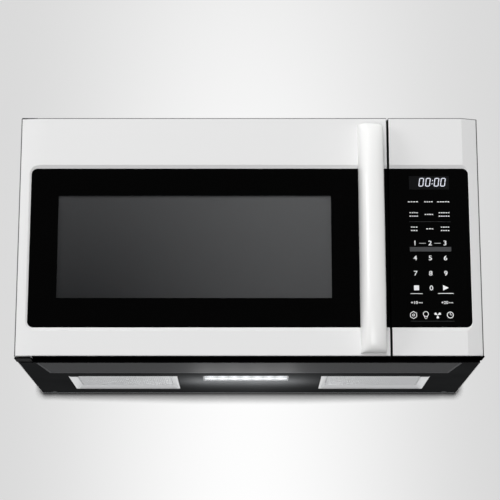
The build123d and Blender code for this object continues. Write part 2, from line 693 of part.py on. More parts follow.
def cavity_lamp():
    """Lamp box over the small holes in the cavity's roof."""
    x = CAVITY_RIGHT - LAMP_HOLES_IN
    y = Y_PLATE + LAMP_HOLES_IN
    half = LAMP_BOX / 2
    roof = CAVITY_ROOF + LAMP_BOX / 2
    box = block(x - half, x + half, y - half, y + half, CAVITY_ROOF, roof + SHEET)
    half -= SHEET
    box -= block(x - half, x + half, y - half, y + half, CAVITY_ROOF, roof)
    bulb = rod_z(x, y, CAVITY_ROOF + LAMP_BOX / 4, roof, LAMP_BOX / 5)
    return box, bulb


def thermal_cutouts():
    """Round cut-outs on the cavity's roof and right wall."""
    wall_x = CAVITY_RIGHT + SHEET
    wall_y = WAVEGUIDE_Y + WAVEGUIDE_WIDTH
    roof_x = CAVITY_RIGHT - LAMP_BOX
    roof = rod_z(roof_x, WAVEGUIDE_Y, CAVITY_ROOF, CAVITY_ROOF + CUTOUT_HEIGHT, CUTOUT_RADIUS)
    wall = rod_x(wall_x, wall_x + CUTOUT_HEIGHT, wall_y, WAVEGUIDE_Z, CUTOUT_RADIUS)
    return roof, wall


# ---- turntable ----
def turntable_motor():
    """Gear motor screwed under the cavity's floor."""
    top = CAVITY_FLOOR - SHEET
    motor = rod_z(TURN_X, TURN_Y, top - TURNTABLE_MOTOR_HEIGHT, top, TURNTABLE_MOTOR_RADIUS)
    bore = COUPLER_SHAFT + RUNNING_FIT
    return motor - rod_z(TURN_X, TURN_Y, top - TURNTABLE_MOTOR_HEIGHT / 2, top, bore)


def turntable_coupler():
    """Shaft and three-lobed coupler that turn the tray."""
    bottom = CAVITY_FLOOR - SHEET - TURNTABLE_MOTOR_HEIGHT / 2 + MOVING_GAP
    coupler = rod_z(TURN_X, TURN_Y, bottom, TRAY_Z, COUPLER_SHAFT)
    for number in range(COUPLER_LOBES):
        lobe = Pos(COUPLER_RADIUS / 2, 0, 0) * Box(COUPLER_RADIUS, LOBE_WIDTH, LOBE_HEIGHT)
        lobe += Pos(COUPLER_RADIUS, 0, 0) * Cylinder(LOBE_WIDTH / 2, LOBE_HEIGHT)
        turn = Rot(0, 0, 360 / COUPLER_LOBES * number)
        coupler += Pos(TURN_X, TURN_Y, TRAY_Z - LOBE_HEIGHT / 2) * turn * lobe
    return coupler


def turntable_tray():
    """Glass tray with a raised rim."""
    rim_inner = TRAY_RADIUS - TRAY_SLOPE
    lip = TRAY_THICKNESS / 2
    profile = (
        (0, TRAY_Z),
        (rim_inner, TRAY_Z),
        (TRAY_RADIUS, TRAY_Z + TRAY_RIM - lip),
        (TRAY_RADIUS, TRAY_Z + TRAY_RIM),
        (TRAY_RADIUS - lip, TRAY_Z + TRAY_RIM),
        (rim_inner - lip, TRAY_Z + TRAY_THICKNESS),
        (0, TRAY_Z + TRAY_THICKNESS),
    )
    face = Plane.XZ * make_face(Polyline(*profile, close=True))
    return Pos(TURN_X, TURN_Y, 0) * revolve(face, Axis.Z)


def roller_ring():
    """Plastic ring with three axles, which the rollers carry round under the tray."""
    outer = ROLLER_CIRCLE - ROLLER_WIDTH / 2 - MOVING_GAP
    ring = Cylinder(outer, RING_HEIGHT) - Cylinder(outer - RING_WIDTH, RING_HEIGHT)
    tip = ROLLER_CIRCLE + ROLLER_WIDTH / 2 + MOVING_GAP
    for number in range(ROLLER_COUNT):
        axle = rod_x(outer - RING_WIDTH / 2, tip, 0, 0, ROLLER_AXLE)
        axle += rod_x(tip, tip + AXLE_HEAD, 0, 0, ROLLER_AXLE + AXLE_HEAD)
        ring += Rot(0, 0, 360 / ROLLER_COUNT * number) * axle
    return Pos(TURN_X, TURN_Y, ROLLER_Z) * ring


def roller(number):
    """One plain roller on its axle."""
    x0 = ROLLER_CIRCLE - ROLLER_WIDTH / 2
    wheel = rod_x(x0, x0 + ROLLER_WIDTH, 0, 0, ROLLER_RADIUS)
    wheel -= rod_x(x0, x0 + ROLLER_WIDTH, 0, 0, ROLLER_AXLE + RUNNING_FIT)
    return Pos(TURN_X, TURN_Y, ROLLER_Z) * Rot(0, 0, 360 / ROLLER_COUNT * number) * wheel


# ---- electronics bay ----
def component_shelf():
    """Steel shelf that carries the electrical parts beside the cavity."""
    return block(
        CAVITY_RIGHT + SHEET, CASE_X - WRAP_SHEET, Y_INSIDE, Y_WALL - SHEET, SHELF_TOP - SHEET, SHELF_TOP,
    )


def waveguide():
    """Rectangular duct from the magnetron to the cavity."""
    x0 = CAVITY_RIGHT + SHEET
    x1 = x0 + WAVEGUIDE_DEPTH
    half_y = WAVEGUIDE_WIDTH / 2
    half_z = WAVEGUIDE_HEIGHT / 2
    duct = block(
        x0, x1, WAVEGUIDE_Y - half_y, WAVEGUIDE_Y + half_y, WAVEGUIDE_Z - half_z, WAVEGUIDE_Z + half_z,
    )
    duct -= block(
        x0, x1 - SHEET, WAVEGUIDE_Y - half_y + SHEET, WAVEGUIDE_Y + half_y - SHEET,
        WAVEGUIDE_Z - half_z + SHEET, WAVEGUIDE_Z + half_z - SHEET,
    )
    return duct - rod_x(x1 - SHEET, x1, WAVEGUIDE_Y, WAVEGUIDE_Z, ANTENNA_RADIUS + ANTENNA_GAP)


def magnetron():
    """Microwave tube with its antenna, yoke, cooling fins and filter box."""
    x0 = CAVITY_RIGHT + SHEET + WAVEGUIDE_DEPTH
    x1 = x0 + MAGNETRON_LENGTH
    half = MAGNETRON_SIZE / 2
    low, high = WAVEGUIDE_Z - half / 2, WAVEGUIDE_Z + half / 2
    tube = rod_x(x0 - ANTENNA_LENGTH, x0 + YOKE_SHEET, WAVEGUIDE_Y, WAVEGUIDE_Z, ANTENNA_RADIUS)
    tube += rod_x(x0 + YOKE_SHEET, x1, WAVEGUIDE_Y, WAVEGUIDE_Z, MAGNETRON_RADIUS)
    tube += block(x0, x0 + YOKE_SHEET, WAVEGUIDE_Y - half, WAVEGUIDE_Y + half, low, high)
    for y in (WAVEGUIDE_Y - half, WAVEGUIDE_Y + half - YOKE_SHEET):
        tube += block(x0, x1, y, y + YOKE_SHEET, low, high)
    pitch = MAGNETRON_LENGTH / (MAGNETRON_FINS + 1)
    for number in range(MAGNETRON_FINS):
        x = x0 + pitch * (number + 1)
        tube += block(x, x + FIN_SHEET, WAVEGUIDE_Y - half, WAVEGUIDE_Y + half, low, high)
    box = MAGNETRON_SIZE / 4
    return tube + block(x1, x1 + box, WAVEGUIDE_Y - box, WAVEGUIDE_Y + box, low, high)


def transformer_core():
    """Stack of steel laminations with two windows."""
    width, length, height = CORE_SIZE
    x0 = CORE_X - width / 2
    y0 = CORE_Y - length / 2
    core = block(x0, x0 + width, y0, y0 + length, SHELF_TOP, SHELF_TOP + height)
    for side in (-1, 1):
        inner = CORE_X + side * CORE_LEG
        outer = CORE_X + side * (width / 2 - CORE_LEG)
        core -= block(
            min(inner, outer), max(inner, outer), y0, y0 + length,
            SHELF_TOP + CORE_LEG, SHELF_TOP + height - CORE_LEG,
        )
    return core


def transformer_windings():
    """Two enamelled copper coils round the core's middle leg."""
    width, length, height = CORE_SIZE
    outer = width / 2 - CORE_LEG - MOVING_GAP
    inner = CORE_LEG
    y0 = CORE_Y - length / 2
    bottom = SHELF_TOP + CORE_LEG + MOVING_GAP
    top = SHELF_TOP + height - CORE_LEG - MOVING_GAP
    coil_height = (top - bottom - WINDING_GAP) / 2
    coils = []
    for z0, z1 in ((bottom, bottom + coil_height), (top - coil_height, top)):
        coil = block(
            CORE_X - outer, CORE_X + outer, y0 - WINDING_OVERHANG, y0 + length + WINDING_OVERHANG, z0, z1,
        )
        coils.append(coil - block(CORE_X - inner, CORE_X + inner, y0, y0 + length, z0, z1))
    return coils


def capacitor():
    """Oil capacitor with its terminals, and the strap that holds it to the shelf."""
    width, length, height = CAPACITOR_SIZE
    base_z = SHELF_TOP + STRAP
    middle = Pos(CAPACITOR_X, base_z + height / 2)
    can_face = SlotOverall(height, width, rotation=90)
    can = extrude(facing(CAPACITOR_Y + length / 2) * middle * can_face, length)
    tag_y = CAPACITOR_Y - length / 2
    tag_z = base_z + height / 2
    for tag_x in (CAPACITOR_X - TAG_WIDTH, CAPACITOR_X + TAG_WIDTH):
        can += block(
            tag_x - TAG_WIDTH / 2, tag_x + TAG_WIDTH / 2, tag_y - TAG_LENGTH, tag_y,
            tag_z, tag_z + TAG_SHEET,
        )
    strap_face = SlotOverall(height + 2 * STRAP, width + 2 * STRAP, rotation=90) - can_face
    strap = extrude(facing(CAPACITOR_Y + STRAP_WIDTH / 2) * middle * strap_face, STRAP_WIDTH)
    return can, strap


def fan_bar_y():
    """Front of the bar that carries the cooling fan's motor."""
    return FAN_Y + FAN_PLATE + FAN_DEPTH


def fan_shroud():
    """Upright plate with the cooling fan's opening, ring and motor bar."""
    plate = block(
        FAN_X - FAN_PLATE_HALF, FAN_X + FAN_PLATE_HALF, FAN_Y, FAN_Y + FAN_PLATE,
        SHELF_TOP, FAN_Z + FAN_PLATE_HALF,
    )
    bar_y = fan_bar_y()
    plate += rod_y(FAN_X, FAN_Y, bar_y, FAN_Z, FAN_OPENING + FAN_PLATE)
    plate -= rod_y(FAN_X, FAN_Y, bar_y, FAN_Z, FAN_OPENING)
    half = FAN_OPENING + FAN_PLATE
    bar = block(
        FAN_X - FAN_HUB / 2, FAN_X + FAN_HUB / 2, bar_y, bar_y + FAN_BAR, FAN_Z - half, FAN_Z + half,
    )
    return plate + bar - rod_y(FAN_X, bar_y, bar_y + FAN_BAR, FAN_Z, FAN_SHAFT + FAN_PLATE)


def fan_motor():
    """Motor of the cooling fan, on the shroud's bar."""
    y0 = fan_bar_y() + FAN_BAR
    motor = rod_y(FAN_X, y0, y0 + FAN_MOTOR_LENGTH, FAN_Z, FAN_MOTOR_RADIUS)
    return motor - rod_y(FAN_X, y0, y0 + FAN_MOTOR_LENGTH / 2, FAN_Z, FAN_SHAFT + RUNNING_FIT)


def fan_blade():
    """Cooling fan's impeller and its shaft."""
    y0 = FAN_Y + FAN_PLATE
    y1 = fan_bar_y() - FAN_PLATE
    shaft_end = fan_bar_y() + FAN_BAR + FAN_MOTOR_LENGTH / 2 - MOVING_GAP
    impeller = rod_y(FAN_X, y0, y1, FAN_Z, FAN_HUB) + rod_y(FAN_X, y1, shaft_end, FAN_Z, FAN_SHAFT)
    length = FAN_RADIUS - FAN_HUB
    middle = FAN_HUB + length / 2 - FAN_SHEET
    for number in range(FAN_BLADES):
        blade = Pos(middle, 0, 0) * Rot(FAN_TWIST, 0, 0) * Box(length, FAN_SHEET, FAN_CHORD)
        blade &= Rot(90, 0, 0) * Cylinder(FAN_RADIUS, y1 - y0)
        turn = Rot(0, 360 / FAN_BLADES * number, 0)
        impeller += Pos(FAN_X, (y0 + y1) / 2, FAN_Z) * turn * blade
    return impeller


def noise_filter_board():
    """Mains filter board on four pillars in front of the back plate, with its choke and relay."""
    width, height = FILTER_BOARD_SIZE
    x0, x1 = FAN_X - width / 2, FAN_X + width / 2
    z1 = CASE_HEIGHT - FILTER_BOARD_BELOW_TOP
    z0 = z1 - height
    back = Y_WALL - SHEET
    face = back - PILLAR_LENGTH - BOARD
    board = block(x0, x1, face, face + BOARD, z0, z1)
    inset = 2 * STANDOFF
    for x in (x0 + inset, x1 - inset):
        for z in (z0 + inset, z1 - inset):
            board += rod_y(x, back - PILLAR_LENGTH, back, z, STANDOFF)
    choke = rod_y(x0 + width / 4, face - CHOKE_HEIGHT, face, (z0 + z1) / 2, CHOKE_RADIUS)
    relay = block(FAN_X, FAN_X + width / 4, face - CHOKE_HEIGHT, face, z0 + height / 4, z0 + height / 2)
    return board, choke, relay


# ---- latch ----
def latch_left():
    """Left side of the latch body, which stands round the hooks."""
    return hook_left() - LATCH_CLEARANCE - LATCH_WALL


def latch_right():
    """Right side of the latch body."""
    return hook_left() + HOOK_WIDTH + LATCH_CLEARANCE + LATCH_WALL


def latch_body():
    """Plastic latch behind the front plate, with a pocket for each hook."""
    pocket_end = Y_INSIDE + HOOK_REACH + LATCH_CLEARANCE
    body = block(
        latch_left(), latch_right(), Y_INSIDE, pocket_end + LATCH_BACK, LOWER_HOOK - LATCH_WALL,
        UPPER_HOOK + HOOK_HEIGHT + BARB_HEIGHT + KEY_TRAVEL + LATCH_WALL,
    )
    for pocket in hook_slots(Y_INSIDE, pocket_end):
        body -= pocket
    return body


def interlock_switches():
    """Three sealed switches on the latch body's side."""
    width, length, height = SWITCH_SIZE
    x0 = latch_right()
    y0 = Y_INSIDE + LATCH_CLEARANCE
    switches = []
    for z in (LOWER_HOOK, LOWER_HOOK + 1.5 * height, UPPER_HOOK):
        switches.append(block(x0, x0 + width, y0, y0 + length, z, z + height))
    return switches


def door_key():
    """Sliding latch bar in the door, with a barbed hook at each end."""
    y1 = Y_FRAME_BACK - MOVING_GAP
    key = block(
        KEY_LEFT, KEY_LEFT + KEY_WIDTH, y1 - KEY_THICKNESS, y1, LOWER_HOOK - KEY_OVERHANG, key_top(),
    )
    tip = Y_INSIDE + HOOK_REACH
    x0 = hook_left()
    for z in (LOWER_HOOK, UPPER_HOOK):
        key += block(x0, x0 + HOOK_WIDTH, y1 - 1, tip, z, z + HOOK_HEIGHT)
        barb_z = z + HOOK_HEIGHT
        barb = ((tip - BARB_LENGTH, barb_z), (tip, barb_z), (tip - BARB_LENGTH, barb_z + BARB_HEIGHT))
        face = Plane.YZ * make_face(Polyline(*barb, close=True))
        key += Pos(x0, 0, 0) * extrude(face, HOOK_WIDTH)
    return key


def key_top():
    """Upper end of the latch bar."""
    return UPPER_HOOK + HOOK_HEIGHT + KEY_OVERHANG


def latch_spring():
    """Spring that presses the latch bar down, as a plain sleeve inside the door."""
    x = KEY_LEFT + KEY_WIDTH / 2
    y = Y_FRAME_BACK - MOVING_GAP - SPRING_RADIUS
    z0 = key_top() + MOVING_GAP
    z1 = key_top() + SPRING_LENGTH
    return rod_z(x, y, z0, z1, SPRING_RADIUS) - rod_z(x, y, z0, z1, SPRING_BORE)


# ---- door ----
def door_outer():
    """The door moulding's outline, with its curved left edge."""
    curve_end = -FRONT_X + LEFT_CURVE
    outline = TangentArc((curve_end, Y_FACE), (-FRONT_X, Y_FACE + LEFT_DROP), tangent=(-1, 0))
    outline += Polyline(
        (-FRONT_X, Y_FACE + LEFT_DROP), (-FRONT_X, Y_FRAME_BACK), (DOOR_RIGHT, Y_FRAME_BACK),
        (DOOR_RIGHT, Y_FACE), (curve_end, Y_FACE),
    )
    solid = Pos(0, 0, FRONT_BOTTOM) * extrude(make_face(outline), FRONT_HEIGHT)
    return rounded_front(solid, curve_end)


def door_frame():
    """White moulded door front, hollow behind, with the glass band's recess."""
    outer = door_outer()
    column = -FRONT_X + COLUMN_WIDTH
    bottom, top = FRONT_BOTTOM + MOULDED_WALL, FRONT_TOP - MOULDED_WALL
    frame = outer - block(
        column, DOOR_RIGHT - MOULDED_WALL, Y_FACE + FRONT_WALL, Y_FRAME_BACK + 1, bottom, top,
    )
    frame -= block(
        -FRONT_X + FRONT_WALL, column, Y_FACE + LEFT_DROP + FRONT_WALL, Y_FRAME_BACK - MOULDED_WALL,
        FRONT_BOTTOM + BUSH_LENGTH + MOULDED_WALL, FRONT_TOP - BUSH_LENGTH - MOULDED_WALL,
    )
    bed, recess, opening = bedded_band(outer, -FRONT_X, DOOR_RIGHT)
    frame = frame + bed - recess - opening - band_lip()
    spring_seat = key_top() + SPRING_LENGTH
    frame += block(
        KEY_LEFT, DOOR_RIGHT - MOULDED_WALL, Y_FRAME_BACK - 4 * SPRING_RADIUS, Y_FRAME_BACK,
        spring_seat, spring_seat + FRONT_WALL,
    )
    for z0 in (FRONT_BOTTOM, FRONT_TOP - BUSH_LENGTH):
        frame -= rod_z(HINGE_X, HINGE_Y, z0, z0 + BUSH_LENGTH, BUSH_RADIUS)
    for z in (HANDLE_BOTTOM + HANDLE_SCREW_INSET, HANDLE_TOP - HANDLE_SCREW_INSET):
        frame -= rod_y(handle_screw_x(), Y_FACE, Y_FACE + FRONT_WALL, z, HANDLE_SCREW)
    return frame


def hinge_bushes():
    """Plain bushes at the door's two left corners."""
    bushes = []
    for z0 in (FRONT_BOTTOM - MOVING_GAP, FRONT_TOP - BUSH_LENGTH):
        z1 = z0 + BUSH_LENGTH + MOVING_GAP
        bush = rod_z(HINGE_X, HINGE_Y, z0, z1, BUSH_RADIUS)
        bushes.append(bush - rod_z(HINGE_X, HINGE_Y, z0, z1, HINGE_PIN + RUNNING_FIT))
    return bushes


def bracket_ends():
    """Left and right ends of the hinge brackets."""
    x0 = -FRONT_X + SEAT_GAP
    return x0, x0 + BRACKET_WIDTH


def hinge_brackets():
    """Steel brackets on the front plate, each with a pin that the door turns on."""
    x0, x1 = bracket_ends()
    y0 = HINGE_Y - HINGE_EDGE
    low_top = FRONT_BOTTOM - TRIM_THICKNESS - SEAT_GAP
    lower = block(x0, x1, y0, Y_PLATE, low_top - BRACKET_SHEET, low_top)
    flange_y = Y_DOOR_BACK + SEAT_GAP
    flange_x = x1 - SIDE_GAP
    lower += block(x0, flange_x, flange_y, Y_PLATE, low_top, low_top + BRACKET_FLANGE)
    lower += rod_z(HINGE_X, HINGE_Y, low_top, low_top + HINGE_PIN_LENGTH, HINGE_PIN)
    high_bottom = FRONT_TOP + 2 * MOVING_GAP
    upper_y = HINGE_Y - UPPER_BRACKET_LAP
    upper = block(x0, x1, upper_y, Y_PLATE, high_bottom, high_bottom + BRACKET_SHEET)
    high_top = high_bottom + BRACKET_SHEET
    upper += block(x0, flange_x, flange_y, Y_PLATE, high_top, high_top + BRACKET_FLANGE)
    upper += rod_z(HINGE_X, HINGE_Y, high_bottom - HINGE_PIN_LENGTH, high_bottom, HINGE_PIN)
    return lower, upper


def door_glass():
    """Black-bordered outer glass, from the left edge of the band to the door's right edge."""
    pane = band(Y_GLASS, Y_GLASS_BACK, -MOVING_GAP)
    return pane & block(-FRONT_X, DOOR_RIGHT, Y_FACE, Y_GLASS_BACK, FRONT_BOTTOM, FRONT_TOP)


def cavity_ring(grow_outer, grow_inner, y0, y1):
    """A rectangular ring round the cavity's mouth."""
    ring = block(
        CAVITY_LEFT - grow_outer, CAVITY_RIGHT + grow_outer, y0, y1,
        CAVITY_FLOOR - grow_outer, CAVITY_TOP + grow_outer,
    )
    return ring - block(
        CAVITY_LEFT - grow_inner, CAVITY_RIGHT + grow_inner, y0, y1,
        CAVITY_FLOOR - grow_inner, CAVITY_TOP + grow_inner,
    )


def door_inner_panel():
    """Steel inner panel with its punched screen, in strips round the key's slots, and the choke's walls."""
    y1 = Y_FRAME_BACK + SHEET
    right = DOOR_RIGHT - MOULDED_WALL / 2
    bottom = FRONT_BOTTOM + MOULDED_WALL / 2
    top = FRONT_TOP - MOULDED_WALL / 2
    low, high = (slot.bounding_box() for slot in hook_slots(Y_FRAME_BACK, y1))
    sheet = block(CAVITY_LEFT - CHOKE_WIDTH, low.min.X, Y_FRAME_BACK, y1, bottom, top)
    width = WINDOW_RIGHT - WINDOW_LEFT + 2 * SCREEN_MARGIN
    height = WINDOW_TOP - WINDOW_BOTTOM + 2 * SCREEN_MARGIN
    pitch_x = (width + SCREEN_BAR) / SCREEN_COLUMNS
    pitch_z = (height + SCREEN_BAR) / SCREEN_ROWS
    hole = Rectangle(pitch_x - SCREEN_BAR, pitch_z - SCREEN_BAR)
    middle = Pos((WINDOW_LEFT + WINDOW_RIGHT) / 2, (WINDOW_BOTTOM + WINDOW_TOP) / 2)
    holes = Sketch() + GridLocations(pitch_x, pitch_z, SCREEN_COLUMNS, SCREEN_ROWS) * hole
    sheet -= extrude(facing(y1) * middle * holes, SHEET)
    strips = [block(low.max.X, right, Y_FRAME_BACK, y1, bottom, top)]
    for z0, z1 in ((bottom, low.min.Z), (low.max.Z, high.min.Z), (high.max.Z, top)):
        strips.append(block(low.min.X, low.max.X, Y_FRAME_BACK, y1, z0, z1))
    cover = Y_DOOR_BACK - CHOKE_COVER
    outer_wall = cavity_ring(CHOKE_WIDTH, CHOKE_WIDTH - SHEET, y1, cover)
    inner_wall = cavity_ring(0, -SHEET, y1, cover)
    return sheet, *strips, outer_wall, inner_wall


def choke_cover():
    """Black plastic cover over the choke, facing the front plate."""
    return cavity_ring(CHOKE_WIDTH, -SHEET, Y_DOOR_BACK - CHOKE_COVER, Y_DOOR_BACK)


def inner_window():
    """Inner glass of the door, inside the choke's inner wall."""
    y0 = Y_FRAME_BACK + SHEET
    return block(
        CAVITY_LEFT + SHEET, CAVITY_RIGHT - SHEET, y0, y0 + INNER_GLASS,
        CAVITY_FLOOR + SHEET, CAVITY_TOP - SHEET,
    )


def trim_strip(x0, x1, y1):
    """A black strip under a front moulding."""
    return block(x0, x1, Y_FACE + TRIM_SETBACK, y1, FRONT_BOTTOM - TRIM_THICKNESS, FRONT_BOTTOM)


def handle_screw_x():
    """Across place of the handle's screws."""
    return HANDLE_RIGHT - HANDLE_SCREW_EDGE


def blade_curve(left, crest_reach, tip, tip_reach, reach):
    """Two quarter ellipses in plan, from the door's face over the crest to a tip on the right."""
    crest = HANDLE_LEFT + HANDLE_CREST * HANDLE_WIDTH
    rise = EllipticalCenterArc(
        (crest, Y_FACE), (HANDLE_CREST - left) * HANDLE_WIDTH, crest_reach * reach, 180,
        arc_size=90,
    )
    fall = EllipticalCenterArc(
        (crest, Y_FACE - tip_reach * reach), (tip - HANDLE_CREST) * HANDLE_WIDTH,
        (crest_reach - tip_reach) * reach, 270, arc_size=90,
    )
    return rise + fall


def handle_section(reach):
    """The blade's outline in plan, at a given reach in front of the door."""
    outline = blade_curve(0, 1, 1, HANDLE_TIP_REACH, reach)
    tip = (HANDLE_RIGHT, Y_FACE - HANDLE_TIP_REACH * reach)
    outline += Polyline(tip, (HANDLE_RIGHT, Y_FACE), (HANDLE_LEFT, Y_FACE))
    return make_face(outline)


def finger_section(reach):
    """The finger space behind the blade in plan, open to the right."""
    outline = blade_curve(
        HANDLE_HEEL, HANDLE_INNER_REACH, HANDLE_INNER_TIP, HANDLE_INNER_TIP_REACH, reach,
    )
    tip_y = Y_FACE - HANDLE_INNER_TIP_REACH * reach
    mouth_x = HANDLE_LEFT + HANDLE_MOUTH * HANDLE_WIDTH
    outline += Polyline(
        (HANDLE_LEFT + HANDLE_INNER_TIP * HANDLE_WIDTH, tip_y), (mouth_x, tip_y),
        (mouth_x, Y_FACE), (HANDLE_LEFT + HANDLE_HEEL * HANDLE_WIDTH, Y_FACE),
    )
    return make_face(outline)


def handle_reach(z):
    """How far the blade stands out from the door at a given height."""
    half = (HANDLE_TOP - HANDLE_BOTTOM) / 2
    share = (z - HANDLE_BOTTOM - half) / half
    bow = max(0.0, 1 - share * share) ** (HANDLE_RISE_POWER / 2)
    return HANDLE_REACH * (HANDLE_END_REACH + (1 - HANDLE_END_REACH) * bow)


def door_handle():
    """White blade handle: its left edge grows out of the door, fingers pass behind its right edge."""
    middle = (HANDLE_BOTTOM + HANDLE_TOP) / 2
    half = (HANDLE_TOP - HANDLE_BOTTOM) / 2
    inner_half = half - HANDLE_SOLID_END
    outside = []
    inside = []
    for number in range(HANDLE_SECTIONS):
        rise = -math.cos(math.pi * number / (HANDLE_SECTIONS - 1))
        z = middle + half * rise
        outside.append(Pos(0, 0, z) * handle_section(handle_reach(z)))
        z = middle + inner_half * rise
        inside.append(Pos(0, 0, z) * finger_section(handle_reach(z)))
    blade = loft(outside, ruled=True) - loft(inside, ruled=True)
    for z in (HANDLE_BOTTOM + HANDLE_SCREW_INSET, HANDLE_TOP - HANDLE_SCREW_INSET):
        blade -= rod_y(handle_screw_x(), Y_FACE - HANDLE_SCREW_BITE, Y_FACE, z, HANDLE_SCREW)
    return blade


def handle_screws():
    """Two screws from inside the door into the handle's bosses."""
    screws = []
    for z in (HANDLE_BOTTOM + HANDLE_SCREW_INSET, HANDLE_TOP - HANDLE_SCREW_INSET):
        back = Y_FACE + FRONT_WALL
        shank = rod_y(handle_screw_x(), Y_FACE - HANDLE_SCREW_BITE, back, z, HANDLE_SCREW)
        head = rod_y(handle_screw_x(), back, back + HANDLE_SCREW, z, 2 * HANDLE_SCREW)
        screws.append(shank + head)
    return screws


# ---- control panel ----
def control_outer():
    """The control panel's outline, with its bevelled right edge."""
    bevel = FRONT_X - RIGHT_BEVEL
    corners = (
        (PANEL_LEFT, Y_PLATE), (PANEL_LEFT, Y_FACE), (bevel, Y_FACE), (FRONT_X, Y_FACE + RIGHT_DROP),
        (FRONT_X, Y_PLATE),
    )
    solid = Pos(0, 0, FRONT_BOTTOM) * extrude(make_face(Polyline(*corners, close=True)), FRONT_HEIGHT)
    return rounded_front(solid, bevel)


def control_frame():
    """White moulded control panel, with the glass band's recess and pillars for its board."""
    outer = control_outer()
    bevel = FRONT_X - RIGHT_BEVEL
    front = Y_FACE + FRONT_WALL
    hollow = (
        (PANEL_LEFT + MOULDED_WALL, Y_PLATE + 1), (PANEL_LEFT + MOULDED_WALL, front), (bevel, front),
        (FRONT_X - MOULDED_WALL, front + RIGHT_DROP), (FRONT_X - MOULDED_WALL, Y_PLATE + 1),
    )
    pocket = extrude(make_face(Polyline(*hollow, close=True)), FRONT_HEIGHT - 2 * MOULDED_WALL)
    frame = outer - Pos(0, 0, FRONT_BOTTOM + MOULDED_WALL) * pocket
    bed, recess, opening = bedded_band(outer, PANEL_LEFT, FRONT_X)
    frame = frame + bed - recess - opening - band_lip()
    for x, z in board_corners():
        frame += rod_y(x, Y_BED_BACK - 1, board_front(), z, STANDOFF)
    return frame


def board_front():
    """Front face of the control board."""
    return Y_BED_BACK + BOARD_BEHIND_BED


def board_corners():
    """Places of the control board's four pillars."""
    xs = (PANEL_LEFT + WIRING_INSET, BAND_RIGHT - BAND_RADIUS)
    zs = (BAND_BOTTOM + BED_LEDGE - PILLAR_INSET, BAND_TOP - BED_LEDGE + PILLAR_INSET)
    return [(x, z) for x in xs for z in zs]


def control_glass():
    """Black glass over the display, and the touch film that is bonded to its back."""
    pane = band(Y_GLASS, Y_GLASS_BACK, -MOVING_GAP)
    pane &= block(PANEL_LEFT, FRONT_X, Y_FACE, Y_GLASS_BACK, FRONT_BOTTOM, FRONT_TOP)
    film = block(
        KEYS_LEFT, KEYS_RIGHT, Y_GLASS_BACK, Y_GLASS_BACK + TOUCH_FILM,
        BAND_BOTTOM + BED_LEDGE + MOVING_GAP, DISPLAY_BOTTOM - MOVING_GAP,
    )
    return pane, film


def display_module():
    """Clock display behind the glass, on the control board."""
    return block(
        DISPLAY_LEFT, DISPLAY_LEFT + DISPLAY_WIDTH, Y_GLASS_BACK, board_front(),
        DISPLAY_BOTTOM, DISPLAY_BOTTOM + DISPLAY_HEIGHT,
    )


def control_board():
    """Circuit board of the control panel, with its supply and three relays."""
    front = board_front()
    back = front + BOARD
    (x0, z0), (x1, z1) = board_corners()[0], board_corners()[-1]
    board = block(x0 - STANDOFF, x1 + STANDOFF, front, back, z0 - STANDOFF, z1 + STANDOFF)
    third = (x1 - x0) / 3
    parts = [block(x0 + third, x0 + 2 * third, back, back + PART_HEIGHT, WINDOW_TOP - third, WINDOW_TOP)]
    for number in range(3):
        x = x0 + third * number
        parts.append(
            block(x, x + third / 2, back, back + PART_HEIGHT, WINDOW_BOTTOM, WINDOW_BOTTOM + third / 2)
        )
    return board, *parts


# ---- blower, exhaust and top vent ----
def blower_housing():
    """Two scroll casings with their inlets, feet and spouts."""
    scrolls = []
    spout_top = COLLAR_BOTTOM - MOVING_GAP
    half = SPOUT_LENGTH / 2
    for side in (-1, 1):
        x0, x1 = sorted((side * SCROLL_INNER, side * SCROLL_OUTER))
        scroll = rod_x(x0, x1, BLOWER_Y, BLOWER_Z, SCROLL_RADIUS)
        scroll += block(x0, x1, BLOWER_Y - half, BLOWER_Y + half, BLOWER_Z, spout_top)
        scroll += block(
            x0, x1, BLOWER_Y - half / 2, BLOWER_Y + half / 2, CAVITY_ROOF,
            BLOWER_Z - SCROLL_RADIUS * math.cos(math.radians(30)),
        )
        hollow_x0, hollow_x1 = x0 + SHEET, x1 - SHEET
        scroll -= rod_x(hollow_x0, hollow_x1, BLOWER_Y, BLOWER_Z, SCROLL_RADIUS - SHEET)
        scroll -= block(
            hollow_x0, hollow_x1, BLOWER_Y - half + SHEET, BLOWER_Y + half - SHEET, BLOWER_Z, spout_top,
        )
        scroll -= rod_x(x0, x1, BLOWER_Y, BLOWER_Z, INLET_RADIUS)
        scrolls.append(scroll)
    return scrolls


def blower_motor():
    """Blower motor and its cradle, between the two scrolls."""
    motor = rod_x(-BLOWER_MOTOR_HALF, BLOWER_MOTOR_HALF, BLOWER_Y, BLOWER_Z, BLOWER_MOTOR_RADIUS)
    bore = BLOWER_SHAFT + RUNNING_FIT
    motor -= rod_x(-BLOWER_MOTOR_HALF, BLOWER_MOTOR_HALF, BLOWER_Y, BLOWER_Z, bore)
    half = BLOWER_MOTOR_RADIUS * math.sin(math.radians(35))
    drop = BLOWER_MOTOR_RADIUS * math.cos(math.radians(35))
    length = 2 * BLOWER_MOTOR_HALF / 3
    cradle = block(-length, length, BLOWER_Y - half, BLOWER_Y + half, CAVITY_ROOF, BLOWER_Z - drop)
    cradle -= rod_x(-length, length, BLOWER_Y, BLOWER_Z, BLOWER_MOTOR_RADIUS)
    return motor, cradle


